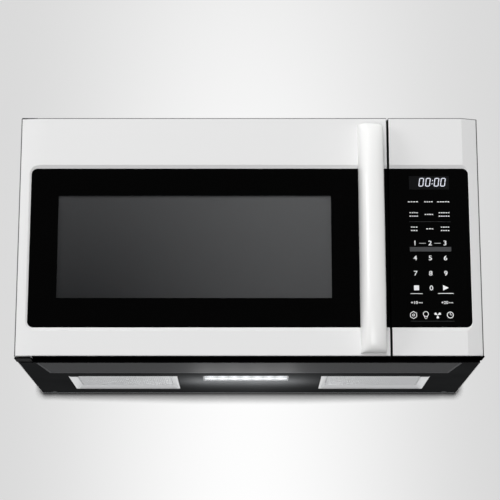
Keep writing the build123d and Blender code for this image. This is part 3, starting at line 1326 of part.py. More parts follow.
def blower_wheels():
    """Two squirrel-cage wheels on one shaft."""
    middle = (SCROLL_INNER + SCROLL_OUTER) / 2
    reach = middle + WHEEL_WIDTH / 2
    rotor = rod_x(-reach, reach, 0, 0, BLOWER_SHAFT)
    for side in (-1, 1):
        centre = side * middle
        half = WHEEL_WIDTH / 2
        rotor += rod_x(centre - WHEEL_SHEET, centre + WHEEL_SHEET, 0, 0, WHEEL_RADIUS)
        for x in (centre - half, centre + half - WHEEL_SHEET):
            ring = rod_x(x, x + WHEEL_SHEET, 0, 0, WHEEL_RADIUS)
            rotor += ring - rod_x(x, x + WHEEL_SHEET, 0, 0, WHEEL_RADIUS - BLADE_DEPTH)
        for number in range(WHEEL_BLADES):
            radius = WHEEL_RADIUS - BLADE_DEPTH / 2
            blade = Pos(centre, 0, radius) * Box(WHEEL_WIDTH, WHEEL_SHEET, BLADE_DEPTH - 2 * MOVING_GAP)
            rotor += Rot(360 / WHEEL_BLADES * number, 0, 0) * blade
    return Pos(0, BLOWER_Y, BLOWER_Z) * rotor


def collar_box(shrink, z0, z1):
    """The exhaust collar's outline, shrunk on every side."""
    half_x = EXHAUST_WIDTH / 2 - shrink
    half_y = EXHAUST_LENGTH / 2 - shrink
    return block(-half_x, half_x, BLOWER_Y - half_y, BLOWER_Y + half_y, z0, z1)


def flap_axis():
    """Depth and height of the damper flap's hinge."""
    y = BLOWER_Y - EXHAUST_LENGTH / 2 + SHEET + FLAP_SLEEVE + FLAP_GAP
    return y, CASE_HEIGHT - FLAP_DEPTH_BELOW_TOP + FLAP_THICKNESS / 2


def exhaust_collar():
    """Exhaust outlet, flush with the case top, with the flap's stops and pin holes."""
    collar = collar_box(0, COLLAR_BOTTOM, CASE_HEIGHT)
    collar += collar_box(-COLLAR_FLANGE, TOP_UNDERSIDE - SHEET, TOP_UNDERSIDE)
    collar -= collar_box(SHEET, COLLAR_BOTTOM, CASE_HEIGHT)
    y, z = flap_axis()
    stop_top = z - FLAP_THICKNESS / 2 - MOVING_GAP
    inner_y = BLOWER_Y + EXHAUST_LENGTH / 2 - SHEET
    for x in (-EXHAUST_WIDTH / 3, 0, EXHAUST_WIDTH / 3):
        collar += block(
            x - STOP_WIDTH / 2, x + STOP_WIDTH / 2, inner_y - STOP_WIDTH / 2, inner_y,
            stop_top - SHEET, stop_top,
        )
    return collar - rod_x(-EXHAUST_WIDTH, EXHAUST_WIDTH, y, z, FLAP_PIN + RUNNING_FIT)


def damper_flap():
    """Back-draught flap that the blower lifts."""
    y, z = flap_axis()
    half = EXHAUST_WIDTH / 2 - SHEET - FLAP_GAP
    far = BLOWER_Y + EXHAUST_LENGTH / 2 - SHEET - FLAP_GAP
    flap = block(-half, half, y, far, z - FLAP_THICKNESS / 2, z + FLAP_THICKNESS / 2)
    flap += rod_x(-half, half, y, z, FLAP_SLEEVE)
    pin = half + FLAP_GAP + SHEET - MOVING_GAP
    return flap + rod_x(-pin, pin, y, z, FLAP_PIN)


def vent_box(shrink, z0, z1):
    """The top vent's outline, shrunk on every side."""
    y0 = Y_PLATE + VENT_FRONT
    return block(
        -VENT_HALF + shrink, VENT_HALF - shrink, y0 + shrink, y0 + VENT_LENGTH - shrink, z0, z1,
    )


def vent_tray():
    """Open steel tray under the top vent, with corner posts for the grille."""
    floor = CASE_HEIGHT - VENT_TRAY_DEPTH
    tray = vent_box(-SHEET, floor - SHEET, TOP_UNDERSIDE) - vent_box(0, floor, TOP_UNDERSIDE)
    tray -= vent_box(VENT_CORNER, floor - SHEET, floor)
    post_top = CASE_HEIGHT - VENT_SHEET - MOVING_GAP
    posts = vent_box(0, floor, post_top)
    y0 = Y_PLATE + VENT_FRONT
    posts -= block(
        -VENT_HALF + VENT_CORNER, VENT_HALF - VENT_CORNER, y0, y0 + VENT_LENGTH, floor, post_top,
    )
    posts -= block(
        -VENT_HALF, VENT_HALF, y0 + VENT_CORNER, y0 + VENT_LENGTH - VENT_CORNER, floor, post_top,
    )
    return tray + posts


def top_vent_grille():
    """White grille, flush with the case top."""
    grille = vent_box(SEAT_GAP, CASE_HEIGHT - VENT_SHEET, CASE_HEIGHT)
    pitch = (2 * VENT_HALF - 4 * VENT_CORNER) / VENT_SLOTS
    slot = SlotOverall(VENT_LENGTH - 2 * VENT_CORNER, VENT_SLOT_WIDTH, rotation=90)
    slots = extrude(Sketch() + GridLocations(pitch, 1, VENT_SLOTS, 1) * slot, VENT_SHEET)
    middle_y = Y_PLATE + VENT_FRONT + VENT_LENGTH / 2
    return grille - Pos(0, middle_y, CASE_HEIGHT - VENT_SHEET) * slots


def charcoal_filter():
    """Charcoal filter clipped under the grille: a frame round a carbon bed."""
    top = CASE_HEIGHT - VENT_SHEET
    bottom = CASE_HEIGHT - VENT_TRAY_DEPTH + MOVING_GAP
    edge = VENT_CORNER + MOVING_GAP
    frame = vent_box(edge, bottom, top) - vent_box(edge + CARBON_FRAME, bottom, top)
    bed = vent_box(edge + CARBON_FRAME, bottom + SHEET, top - CARBON_FRAME)
    return frame, bed


def cord_grommet():
    """Rubber grommet where the mains lead leaves the case top."""
    y = Y_WALL - GROMMET_FROM_WALL
    low = TOP_UNDERSIDE - GROMMET_FLANGE
    grommet = rod_z(GROMMET_X, y, TOP_UNDERSIDE, CASE_HEIGHT, GROMMET_RADIUS - MOVING_GAP)
    grommet += rod_z(GROMMET_X, y, low, TOP_UNDERSIDE, GROMMET_RADIUS + GROMMET_FLANGE)
    return grommet - rod_z(GROMMET_X, y, low, CASE_HEIGHT, GROMMET_BORE)


def main():
    os.makedirs("parts", exist_ok=True)
    save("outer_wrap", outer_wrap())
    save("back_plate", back_plate())
    save("base_plate", base_plate())
    save("underside_front_panel", underside_front_panel())
    save("front_plate", front_plate())
    save("base_screws", *base_screws())
    for side, name in ((-1, "left"), (1, "right")):
        save(f"grease_filter_{name}", *grease_filter(side))
    save("lamp_lens", lamp_lens())
    save("lamp_housing", lamp_housing())
    save("lamp_board", *lamp_board())
    save("oven_cavity", oven_cavity())
    save("mica_cover", mica_cover())
    save("cavity_lamp", *cavity_lamp())
    save("thermal_cutouts", *thermal_cutouts())
    save("turntable_motor", turntable_motor())
    save("turntable_coupler", turntable_coupler())
    save("turntable_tray", turntable_tray())
    save("roller_ring", roller_ring())
    for number in range(ROLLER_COUNT):
        save(f"roller_{number + 1}", roller(number))
    save("component_shelf", component_shelf())
    save("waveguide", waveguide())
    save("magnetron", magnetron())
    save("transformer_core", transformer_core())
    save("transformer_windings", *transformer_windings())
    save("capacitor", *capacitor())
    save("fan_shroud", fan_shroud())
    save("fan_motor", fan_motor())
    save("fan_blade", fan_blade())
    save("noise_filter_board", *noise_filter_board())
    save("latch_body", latch_body())
    save("interlock_switches", *interlock_switches())
    save("door_key", door_key())
    save("latch_spring", latch_spring())
    save("door_frame", door_frame())
    save("hinge_bushes", *hinge_bushes())
    save("hinge_brackets", *hinge_brackets())
    save("door_glass", door_glass())
    save("door_inner_panel", *door_inner_panel())
    save("choke_cover", choke_cover())
    save("inner_window", inner_window())
    save("door_bottom_trim", trim_strip(bracket_ends()[1] + SIDE_GAP, DOOR_RIGHT, Y_DOOR_BACK))
    save("control_bottom_trim", trim_strip(PANEL_LEFT, FRONT_X, Y_PLATE))
    save("door_handle", door_handle())
    save("handle_screws", *handle_screws())
    save("control_frame", control_frame())
    save("control_glass", *control_glass())
    save("display_module", display_module())
    save("control_board", *control_board())
    save("blower_housing", *blower_housing())
    save("blower_motor", *blower_motor())
    save("blower_wheels", blower_wheels())
    save("exhaust_collar", exhaust_collar())
    save("damper_flap", damper_flap())
    save("vent_tray", vent_tray())
    save("top_vent_grille", top_vent_grille())
    save("charcoal_filter", *charcoal_filter())
    save("cord_grommet", cord_grommet())


main()
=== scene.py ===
"""An over the range microwave oven with its finishes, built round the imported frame.

Metres, +Z up, the door faces -Y.
"""
import math

import bmesh
import bpy
from mathutils import Matrix, Vector


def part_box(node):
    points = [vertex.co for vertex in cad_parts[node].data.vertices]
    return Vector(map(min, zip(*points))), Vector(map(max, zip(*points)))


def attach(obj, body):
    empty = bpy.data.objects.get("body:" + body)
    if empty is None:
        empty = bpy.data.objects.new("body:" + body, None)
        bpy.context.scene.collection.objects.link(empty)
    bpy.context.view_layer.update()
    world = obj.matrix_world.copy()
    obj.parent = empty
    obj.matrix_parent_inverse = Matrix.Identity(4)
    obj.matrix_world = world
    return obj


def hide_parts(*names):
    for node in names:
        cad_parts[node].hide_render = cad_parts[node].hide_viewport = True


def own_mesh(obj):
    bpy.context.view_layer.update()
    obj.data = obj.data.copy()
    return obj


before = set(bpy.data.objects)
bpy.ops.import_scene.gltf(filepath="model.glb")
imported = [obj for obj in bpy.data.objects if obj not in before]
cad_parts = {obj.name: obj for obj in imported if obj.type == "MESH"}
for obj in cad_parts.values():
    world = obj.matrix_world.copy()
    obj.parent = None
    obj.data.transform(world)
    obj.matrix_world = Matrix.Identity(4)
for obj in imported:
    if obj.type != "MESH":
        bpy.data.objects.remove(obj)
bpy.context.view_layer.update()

# Camera. A long lens stands below the oven and looks up at its door and its underside.
camera = bpy.data.objects.new("camera", bpy.data.cameras.new("camera"))
camera.data.lens = 121.3
camera.data.sensor_width = 36
camera.location = (0.0013, -2.846, -0.452)
camera.rotation_euler = (math.radians(103.27), 0, 0)
bpy.context.collection.objects.link(camera)
bpy.context.scene.camera = camera
bpy.context.scene.view_settings.view_transform = "Standard"


# Studio. A pale painted wall that the oven hangs on, a pale floor, one big soft lamp high in front, a side
# one at the left and a weak low one. The air in front is dark in reflections, so glass stays black.
def linear(code):
    """An sRGB hex colour as the linear colour that shaders take."""
    parts = [int(code[at:at + 2], 16) / 255 for at in (0, 2, 4)]
    return [part / 12.92 if part <= 0.04045 else ((part + 0.055) / 1.055) ** 2.4 for part in parts] + [1]


def add(tree, kind, inputs=None, feeds=None, stops=(), **settings):
    """Adds a node with its settings. Its inputs take values, sockets or a node's first output, its own
    first output feeds a socket, and a ramp's stops are places with hex colours."""
    node = tree.nodes.new(kind)
    for name, value in settings.items():
        setattr(node, name, value)
    for name, value in (inputs or {}).items():
        if isinstance(value, bpy.types.Node):
            value = value.outputs[0]
        if isinstance(value, bpy.types.NodeSocket):
            tree.links.new(value, node.inputs[name])
        else:
            node.inputs[name].default_value = value
    if feeds:
        tree.links.new(node.outputs[0], feeds)
    for number, (place, code) in enumerate(stops):
        if number > 1:
            node.color_ramp.elements.new(place)
        node.color_ramp.elements[number].position = place
        node.color_ramp.elements[number].color = linear(code)
    return node


def show(name, mesh, *finishes):
    """Puts a mesh in the scene as an object at the origin, with its finishes."""
    piece = bpy.data.objects.new(name, mesh)
    bpy.context.collection.objects.link(piece)
    for finish in finishes:
        mesh.materials.append(finish)
    return piece


def soft_lamp(name, place, size, watts):
    """A square soft lamp that faces down until it is turned."""
    lamp = bpy.data.lights.new(name, "AREA")
    lamp.size = size
    lamp.energy = watts
    holder = bpy.data.objects.new(name, lamp)
    holder.location = place
    bpy.context.collection.objects.link(holder)
    return holder


room = bpy.data.worlds.new("room")
room.use_nodes = True
tree = room.node_tree
tree.nodes.clear()
heading = add(tree, "ShaderNodeSeparateXYZ", {"Vector": add(tree, "ShaderNodeTexCoord").outputs["Generated"]})
ray = add(tree, "ShaderNodeLightPath")
mirrored = add(tree, "ShaderNodeMapRange", {
    "Value": heading.outputs["Y"], "From Min": -0.7, "From Max": 0.2, "To Min": 0.012, "To Max": 0.9,
})
from_below = add(tree, "ShaderNodeMapRange", {
    "Value": heading.outputs["Z"], "From Min": -0.4, "From Max": 0.4, "To Min": 0.15, "To Max": 0.46,
})
from_right = add(tree, "ShaderNodeMapRange", {
    "Value": heading.outputs["X"], "From Min": 0.0, "From Max": 0.8, "To Min": 1.0, "To Max": 0.58,
})
soft = add(tree, "ShaderNodeMath", {0: from_below, 1: from_right}, operation="MULTIPLY")
lit = add(tree, "ShaderNodeMix", {
    "Factor": ray.outputs["Is Glossy Ray"], "A": soft, "B": mirrored,
})
seen = add(tree, "ShaderNodeMix", {"Factor": ray.outputs["Is Camera Ray"], "A": lit, "B": 0.86})
air = add(tree, "ShaderNodeBackground", {"Color": (1, 1, 1, 1), "Strength": seen})
add(tree, "ShaderNodeOutputWorld", {"Surface": air})
bpy.context.scene.world = room

WALL_Y = 0.2046
FLOOR_Z = -0.62
# Painted light on wall and floor: a pool brighter low in the middle, and painted contact shade near the oven.
backdrop = bpy.data.materials.new("matt_wall_paint")
backdrop.use_nodes = True
tree = backdrop.node_tree
tree.nodes.clear()
spot = add(tree, "ShaderNodeTexCoord")
axis = add(tree, "ShaderNodeSeparateXYZ", {"Vector": spot.outputs["Object"]})
off = add(tree, "ShaderNodeMath", {0: axis.outputs["X"]}, operation="ABSOLUTE")
across = add(tree, "ShaderNodeMapRange", {
    "Value": off, "From Min": 0.0, "From Max": 0.5, "To Min": 1.0, "To Max": 0.0,
}, interpolation_type="SMOOTHSTEP")
up = add(tree, "ShaderNodeMapRange", {
    "Value": axis.outputs["Z"], "From Min": 0.2, "From Max": 0.8, "To Min": 1.0, "To Max": 0.5,
})
shade = add(tree, "ShaderNodeMath", {0: across, 1: up}, operation="MULTIPLY")
painted_light_falloff = add(tree, "ShaderNodeValToRGB", {"Fac": shade}, stops=((0, "DADADA"), (1, "FFFFFF")))
reach = add(tree, "ShaderNodeMapRange", {
    "Value": off, "From Min": 0.1, "From Max": 0.38, "To Min": 0.023, "To Max": 0.015,
})
shaded = painted_light_falloff
for distance in (reach, 0.0065):
    near = add(tree, "ShaderNodeAmbientOcclusion", {"Distance": distance}, samples=8)
    painted_contact_shade = add(tree, "ShaderNodeGamma", {"Color": near, "Gamma": 3.2})
    shaded = add(tree, "ShaderNodeVectorMath", {0: shaded, 1: painted_contact_shade}, operation="MULTIPLY")
glow = add(tree, "ShaderNodeEmission", {"Color": shaded})
chalk = add(tree, "ShaderNodeBsdfDiffuse", {"Color": painted_light_falloff})
both = add(tree, "ShaderNodeMixShader", {0: 0.03, 1: glow, 2: chalk})
clear = add(tree, "ShaderNodeBsdfTransparent")
side = add(tree, "ShaderNodeNewGeometry")
one_way = add(tree, "ShaderNodeMixShader", {0: side.outputs["Backfacing"], 1: both, 2: clear})
add(tree, "ShaderNodeOutputMaterial", {"Surface": one_way})
for name, corners in (
    ("wall", ((-5, WALL_Y, FLOOR_Z), (5, WALL_Y, FLOOR_Z), (5, WALL_Y, 3.5), (-5, WALL_Y, 3.5))),
    ("floor", ((-5, -6, FLOOR_Z), (5, -6, FLOOR_Z), (5, 5, FLOOR_Z), (-5, 5, FLOOR_Z))),
):
    mesh = bpy.data.meshes.new(name)
    mesh.from_pydata(corners, [], [(0, 1, 2, 3)])
    sheet = show(name, mesh, backdrop)
    sheet.visible_diffuse = False
    sheet.visible_glossy = False
    sheet.visible_shadow = False

for name, place, aim, size, watts in (
    ("key", (-0.3, -3.2, 2.8), (0.0, -0.1, 0.2), 1.6, 80),
    ("left_side", (-4.6, -2.4, 1.4), (0.0, -0.15, 0.25), 1.5, 72),
    ("low_fill", (0.2, -3.2, -1.2), (0.0, -0.1, 0.2), 1.4, 34),
):
    lamp = soft_lamp(name, place, size, watts)
    lamp.rotation_euler = (Vector(aim) - Vector(place)).to_track_quat("-Z", "Y").to_euler()
    lamp.visible_glossy = name != "key"  # the key isn't mirrored, so the glass stays black from below


# Outer cover. Steel sheet bent over the top and both sides, white polyester powder coat baked on it. Its
# sides are lapped over the back plate.
def opened(finish):
    """A finish's tree, its shader, and the object's own coordinates, which its patterns read."""
    tree = finish.node_tree
    return tree, tree.nodes["Principled BSDF"], add(tree, "ShaderNodeTexCoord").outputs["Object"]


def relief(tree, shader, pattern, depth):
    """Raises the surface by a pattern, depth in metres from black to white."""
    normal = shader.inputs["Normal"]
    add(tree, "ShaderNodeBump", {"Height": pattern, "Strength": 1.0, "Distance": depth}, normal)


def coat(name, grain=None, **values):
    """A new finish with its shader's own sockets set. A grain is a noise's scale, which is how many of its
    grains lie along a metre, its detail, and the depth in metres that it raises the surface by."""
    finish = bpy.data.materials.new(name)
    finish.use_nodes = True
    for socket, value in values.items():
        finish.node_tree.nodes["Principled BSDF"].inputs[socket.replace("_", " ")].default_value = value
    if grain:
        scale, detail, depth = grain
        tree, shader, spot = opened(finish)
        noise = add(tree, "ShaderNodeTexNoise", {"Vector": spot, "Scale": scale, "Detail": detail})
        relief(tree, shader, noise, depth)
    return finish


def dress(finish, *nodes):
    """Gives CAD nodes a finish."""
    for node in nodes:
        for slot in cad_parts[node].material_slots:
            slot.material = finish


# Powder coat: a soft even sheen with an orange peel about 2 mm across.
white_powder_coat = coat("white_powder_coat", (480, 2, 0.00004), Base_Color=linear("E4E4E3"), Roughness=0.42)
dress(white_powder_coat, "outer_wrap")


# Screws. Zinc plated steel pan heads with a cross recess: two hold the base plate behind the filters, and
# four in each side hold the cover. One Geometry Nodes tree sets a head at each point.
# Zinc plate: a cold satin metal with a faint cloudy passivation.
zinc_plate = coat("zinc_plate", (300, 3, 0.00002), Base_Color=linear("B9BBBC"), Metallic=1.0, Roughness=0.34)


def ring_loop(mesh, radius, z, count, shares=(1,), start=0.0):
    """A ring of points at a height; shares, taken in turn, draw its points in."""
    points = []
    for step in range(count):
        turn = start + 2 * math.pi * step / count
        reach = shares[step % len(shares)] * radius
        points.append(mesh.verts.new((reach * math.cos(turn), reach * math.sin(turn), z)))
    return points


def join_loops(mesh, loops, ends="capped"):
    """Skins a stack of loops with four-sided faces. Its ends are capped, joined to each other, or open."""
    for low, high in zip(loops, loops[1:] + (loops[:1] if ends == "joined" else [])):
        for step in range(len(low)):
            after = (step + 1) % len(low)
            mesh.faces.new((low[step], low[after], high[after], high[step]))
    if ends == "capped":
        mesh.faces.new(loops[0][::-1])
        mesh.faces.new(loops[-1])


def pan_head(radius, height, length):
    """A pan head that points up, with its cross recess and its shank, its seat at the origin."""
    mesh = bmesh.new()
    plain, cross = (1,), (1, 0.35, 0.35, 0.35)
    join_loops(mesh, [ring_loop(mesh, share * radius, z, 16, shares) for share, z, shares in (
        (0.33, -length, plain), (0.33, 0, plain), (1, 0, plain), (1, 0.35 * height, plain),
        (0.86, 0.78 * height, plain), (0.55, height, plain), (0.42, height, cross),
        (0.36, 0.45 * height, cross),
    )])
    data = bpy.data.meshes.new("pan_head")
    mesh.to_mesh(data)
    mesh.free()
    return data


def scatter(name, unit, places, finish, way=(0, 0, 1), swing=0.0):
    """A plain mesh with a unit at each place, set by Geometry Nodes: its up is turned to way, and it is
    turned round that by swing."""
    seat = bpy.data.meshes.new(name)
    seat.from_pydata(places, [], [])
    piece = show(name, seat, finish)
    pattern = bpy.data.objects.new(name + "_unit", unit)
    tree = bpy.data.node_groups.new(name, "GeometryNodeTree")
    tree.interface.new_socket("Points", in_out="INPUT", socket_type="NodeSocketGeometry")
    shape = tree.interface.new_socket("Unit", in_out="INPUT", socket_type="NodeSocketObject")
    turned = tree.interface.new_socket("Turn", in_out="INPUT", socket_type="NodeSocketVector")
    tree.interface.new_socket("Mesh", in_out="OUTPUT", socket_type="NodeSocketGeometry")
    entry = add(tree, "NodeGroupInput")
    unit_mesh = add(tree, "GeometryNodeObjectInfo", {"Object": entry.outputs["Unit"]})
    angle = add(tree, "FunctionNodeEulerToRotation", {"Euler": entry.outputs["Turn"]})
    spread = add(tree, "GeometryNodeInstanceOnPoints", {
        "Points": entry.outputs["Points"], "Instance": unit_mesh.outputs["Geometry"],
        "Rotation": angle,
    })
    real = add(tree, "GeometryNodeRealizeInstances", {"Geometry": spread})
    coated = add(tree, "GeometryNodeSetMaterial", {"Geometry": real, "Material": finish})
    add(tree, "NodeGroupOutput", {"Mesh": coated})
    nodes = piece.modifiers.new("set", "NODES")
    nodes.node_group = tree
    nodes[shape.identifier] = pattern
    turn = (Vector(way).to_track_quat("Z", "Y") @ Matrix.Rotation(swing, 3, "Z").to_quaternion()).to_euler()
    nodes[turned.identifier] = list(turn)
    return flatten(piece)


def flatten(piece):
    """Swaps a piece for the plain mesh that its curve or its modifiers make."""
    graph = bpy.context.evaluated_depsgraph_get()
    mesh = bpy.data.meshes.new_from_object(piece.evaluated_get(graph), depsgraph=graph)
    name = piece.name
    bpy.data.objects.remove(piece)
    return show(name, mesh)


# Blackened steel: dark grey with a dull metal shine.
black_steel = coat("black_steel", Base_Color=linear("303133"), Metallic=1.0, Roughness=0.5)
base_screws = scatter(
    "base_screw_heads", pan_head(0.006, 0.0026, 0.009),
    [(-0.3535, 0.195, 0.003), (0.3535, 0.195, 0.003)], black_steel, way=(0, 0, -1), swing=0.5,
)
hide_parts("base_screws")
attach(base_screws, "cabinet")

COVER_X = 0.377  # how far the cover's sides are from the middle, m
for side, way, swing in (("left", -1, 0.3), ("right", 1, 0.9)):
    places = [(COVER_X * way, y, z) for y in (-0.10, 0.185) for z in (0.03, 0.385)]
    head = pan_head(0.0042, 0.0019, 0.006)
    side_screws = scatter("cover_screws_" + side, head, places, zinc_plate, (way, 0, 0), swing)
    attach(side_screws, "cabinet")


# Front plate and hinge brackets. Pressed steel plate welded round the oven box, painted black; the
# brackets that carry the door are bent strip painted dark grey and screwed to its left end.
# Wet paint on steel: black, satin, with a very faint flow texture.
black_front_paint = coat(
    "black_front_paint", (160, 1, 0.00003), Base_Color=linear("030304"), Roughness=0.5,
    Specular_IOR_Level=0.03,
)
dress(black_front_paint, "front_plate")
# Dark grey paint on bent strip: nearly matt, with a fine grit.
dark_bracket_paint = coat(
    "dark_bracket_paint", (900, 2, 0.00003), Base_Color=linear("070708"), Roughness=0.6,
    Specular_IOR_Level=0.02,
)
dress(dark_bracket_paint, "hinge_brackets")


# Back plate, ducts and shelves. Hot dip galvanised steel sheet, folded and spot welded, left bare where
# nobody sees it: the back, the exhaust and blower housings, the waveguide and the shelf under the electrics.
# Galvanised sheet: dull grey metal with zinc crystals about 8 mm across, each a slightly different grey.
zinc_spangle = coat("zinc_spangle", Metallic=1.0, Roughness=0.45)
tree, shader, spot = opened(zinc_spangle)
crystals = add(tree, "ShaderNodeTexVoronoi", {"Vector": spot, "Scale": 120})
tint = crystals.outputs["Color"]
add(tree, "ShaderNodeValToRGB", {"Fac": tint}, shader.inputs["Base Color"], ((0, "AEB2B5"), (1, "C0C4C6")))
add(tree, "ShaderNodeMapRange", {"Value": tint, "To Min": 0.38, "To Max": 0.52}, shader.inputs["Roughness"])
dress(
    zinc_spangle, "back_plate", "blower_housing", "cavity_lamp", "component_shelf", "exhaust_collar",
    "turntable_motor", "vent_tray", "waveguide",
)


# Underside. A charcoal powder coated tray with a paler panel let into its front, both folded steel, and
# the wells that the two filters sit in.
# Charcoal powder coat: nearly matt with a fine grain, a little dustier in broad patches.
charcoal_coat = coat("charcoal_coat", (1100, 2, 0.00004), Roughness=0.7, Specular_IOR_Level=0.0)
tree, shader, spot = opened(charcoal_coat)
dust = add(tree, "ShaderNodeTexNoise", {"Vector": spot, "Scale": 9, "Detail": 4})
add(
    tree, "ShaderNodeValToRGB", {"Fac": dust}, shader.inputs["Base Color"],
    ((0.3, "3B3C3D"), (0.75, "454647")),
)
dress(charcoal_coat, "base_plate")

# The front panel's coat is a paler satin grey, with painted highlights 3 mm wide on its rear and sloping
# edges.
satin_grey_coat = coat("satin_grey_coat", (900, 2, 0.00003), Roughness=0.6, Specular_IOR_Level=0.05)
tree, shader, spot = opened(satin_grey_coat)
axis = add(tree, "ShaderNodeSeparateXYZ", {"Vector": spot})
across = add(tree, "ShaderNodeMath", {0: axis.outputs["X"]}, operation="ABSOLUTE")
HIGHLIGHT_Y = -0.0265  # where the painted highlight along the rear edge starts
HIGHLIGHT_X = 0.3308  # the half width between the painted highlight side strips where Y is 0
EDGE_SLOPE = -0.1068  # how much that half width shrinks for each metre back
rear = add(tree, "ShaderNodeMath", {0: axis.outputs["Y"], 1: HIGHLIGHT_Y}, operation="GREATER_THAN")
edge_x = add(tree, "ShaderNodeMath", {
    0: axis.outputs["Y"], 1: EDGE_SLOPE, 2: HIGHLIGHT_X,
}, operation="MULTIPLY_ADD")
outer = add(tree, "ShaderNodeMath", {0: across, 1: edge_x}, operation="GREATER_THAN")
painted_edge_highlight = add(tree, "ShaderNodeMath", {0: rear, 1: outer}, operation="MAXIMUM")
add(tree, "ShaderNodeValToRGB", {"Fac": painted_edge_highlight}, shader.inputs["Base Color"], ((0, "434446"), (1, "66676A")))
dress(satin_grey_coat, "underside_front_panel")


# Grease filters. Each is a rolled aluminium frame, its lip sloping in to layers of expanded aluminium
# mesh, with a moulded pull tab at its outer front corner. They drop into the wells and lift out for washing.
# Rolled aluminium: a bright soft metal with fine lines along the roll.
rolled_aluminium = coat("rolled_aluminium", Base_Color=linear("DEDFE0"), Metallic=1.0, Roughness=0.36)
tree, shader, spot = opened(rolled_aluminium)
drawn = add(tree, "ShaderNodeMapping", {"Vector": spot, "Scale": (0.04, 1, 1)})
lines = add(tree, "ShaderNodeTexNoise", {"Vector": drawn, "Scale": 1400, "Detail": 2})
relief(tree, shader, lines, 0.00002)
# Expanded mesh strands: slit and pulled aluminium, brighter on the shears, washed many times.
mesh_aluminium = coat(
    "mesh_aluminium", (700, 2, 0.00003), Base_Color=linear("E6E7E8"), Metallic=1.0, Roughness=0.5,
)
# Grey nylon: matt, finely grained.
grey_nylon = coat(
    "grey_nylon", (1200, 1, 0.00003), Base_Color=linear("5A5B5D"), Roughness=0.6, Specular_IOR_Level=0.2,
)


def box_loop(mesh, x0, x1, y0, y1, z, corner=0.0, steps=4):
    """A rounded rectangle of points at a height."""
    if corner == 0:
        places = [(x0, y0), (x1, y0), (x1, y1), (x0, y1)]
    else:
        places = []
        for x, y, turn in ((x1 - corner, y0 + corner, -90), (x1 - corner, y1 - corner, 0),
                           (x0 + corner, y1 - corner, 90), (x0 + corner, y0 + corner, 180)):
            for step in range(steps + 1):
                angle = math.radians(turn + 90 * step / steps)
                places.append((x + corner * math.cos(angle), y + corner * math.sin(angle)))
    return [mesh.verts.new((x, y, z)) for x, y in places]


def mesh_of(shape, name, smooth=None):
    """Ends a bmesh as a mesh with its faces outwards; edges under the smooth angle are shaded soft."""
    bmesh.ops.remove_doubles(shape, verts=shape.verts, dist=1e-7)
    bmesh.ops.recalc_face_normals(shape, faces=shape.faces)
    mesh = bpy.data.meshes.new(name)
    shape.to_mesh(mesh)
    shape.free()
    if smooth:
        mesh.shade_smooth()
        mesh.set_sharp_from_angle(angle=math.radians(smooth))
    return mesh


def diamond_eye(width, length, strand, sheet):
    """One eye of expanded mesh: a flat diamond ring, closed on every side."""
    shape = bmesh.new()
    loops = []
    for share, z in ((1, 0), (1, sheet), (1 - strand, sheet), (1 - strand, 0)):
        loops.append([
            shape.verts.new((0.5 * share * width * x, 0.5 * share * length * y, z))
            for x, y in ((1, 0), (0, 1), (-1, 0), (0, -1))
        ])
    join_loops(shape, loops, "joined")
    return mesh_of(shape, "diamond_eye")


EYE_LENGTH, EYE_WIDTH = 0.0064, 0.0036  # coarser than the real mesh, so that it shows
LIP = 0.012  # the frame's breadth, m
CRIMPS = 58  # folds in the back layer
for side in ("left", "right"):
    node = "grease_filter_" + side
    low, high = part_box(node)
    shape = bmesh.new()
    walls = [
        box_loop(shape, low.x + inset, high.x - inset, low.y + inset, high.y - inset, z, corner)
        for inset, z, corner in (
            (0, low.z, 0.004), (0, high.z, 0.004), (LIP + 0.001, high.z, 0.002),
            (LIP, high.z - 0.0012, 0.002), (0.0045, low.z + 0.0022, 0.003), (0.0030, low.z + 0.0002, 0.003),
        )
    ]
    join_loops(shape, walls, "joined")
    filter_frame = show(node + "_frame", mesh_of(shape, node, 35), rolled_aluminium)
    x0, x1, y0, y1 = low.x + LIP, high.x - LIP, low.y + LIP, high.y - LIP
    columns = int((x1 - x0) / EYE_LENGTH)
    rows = int((y1 - y0) / EYE_WIDTH)
    places = [
        (x0 + (column + (row % 2 + 1) / 2) * (x1 - x0) / columns, y0 + (row + 1) / 2 * (y1 - y0) / rows,
         high.z - 0.0036)
        for row in range(2 * rows - 1) for column in range(columns - row % 2)
    ]
    eye = diamond_eye(EYE_LENGTH * 1.02, EYE_WIDTH * 1.02, 0.30, 0.0007)
    net = scatter(node + "_mesh", eye, places, mesh_aluminium)
    # The back layer of the mesh, so close that light barely passes: a thin crimped foil.
    shape = bmesh.new()
    folds = []
    for step in range(CRIMPS + 1):
        y = y0 + (y1 - y0) * step / CRIMPS
        z = high.z - 0.0022 + (0.0007 if step % 2 else 0)
        folds.append([
            shape.verts.new((x, y, z + rise)) for x, rise in ((x0, 0), (x1, 0), (x1, 0.0005), (x0, 0.0005))
        ])
    join_loops(shape, folds)
    layer = show(node + "_back_layer", mesh_of(shape, node), mesh_aluminium)
    # A grey moulded pull tab, pushed on the frame's outer front corner.
    shape = bmesh.new()
    tab_x = low.x + 0.001 if side == "left" else high.x - 0.017
    join_loops(shape, [
        box_loop(shape, tab_x, tab_x + 0.016, low.y + 0.0004, low.y + 0.0094, z, 0.003)
        for z in (low.z - 0.0004, low.z + 0.0016)
    ])
    tab = show(node + "_tab", mesh_of(shape, node, 30), grey_nylon)
    for piece in (filter_frame, net, layer, tab):
        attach(piece, "filter_" + side)
    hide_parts(node)
dress(rolled_aluminium, "damper_flap")


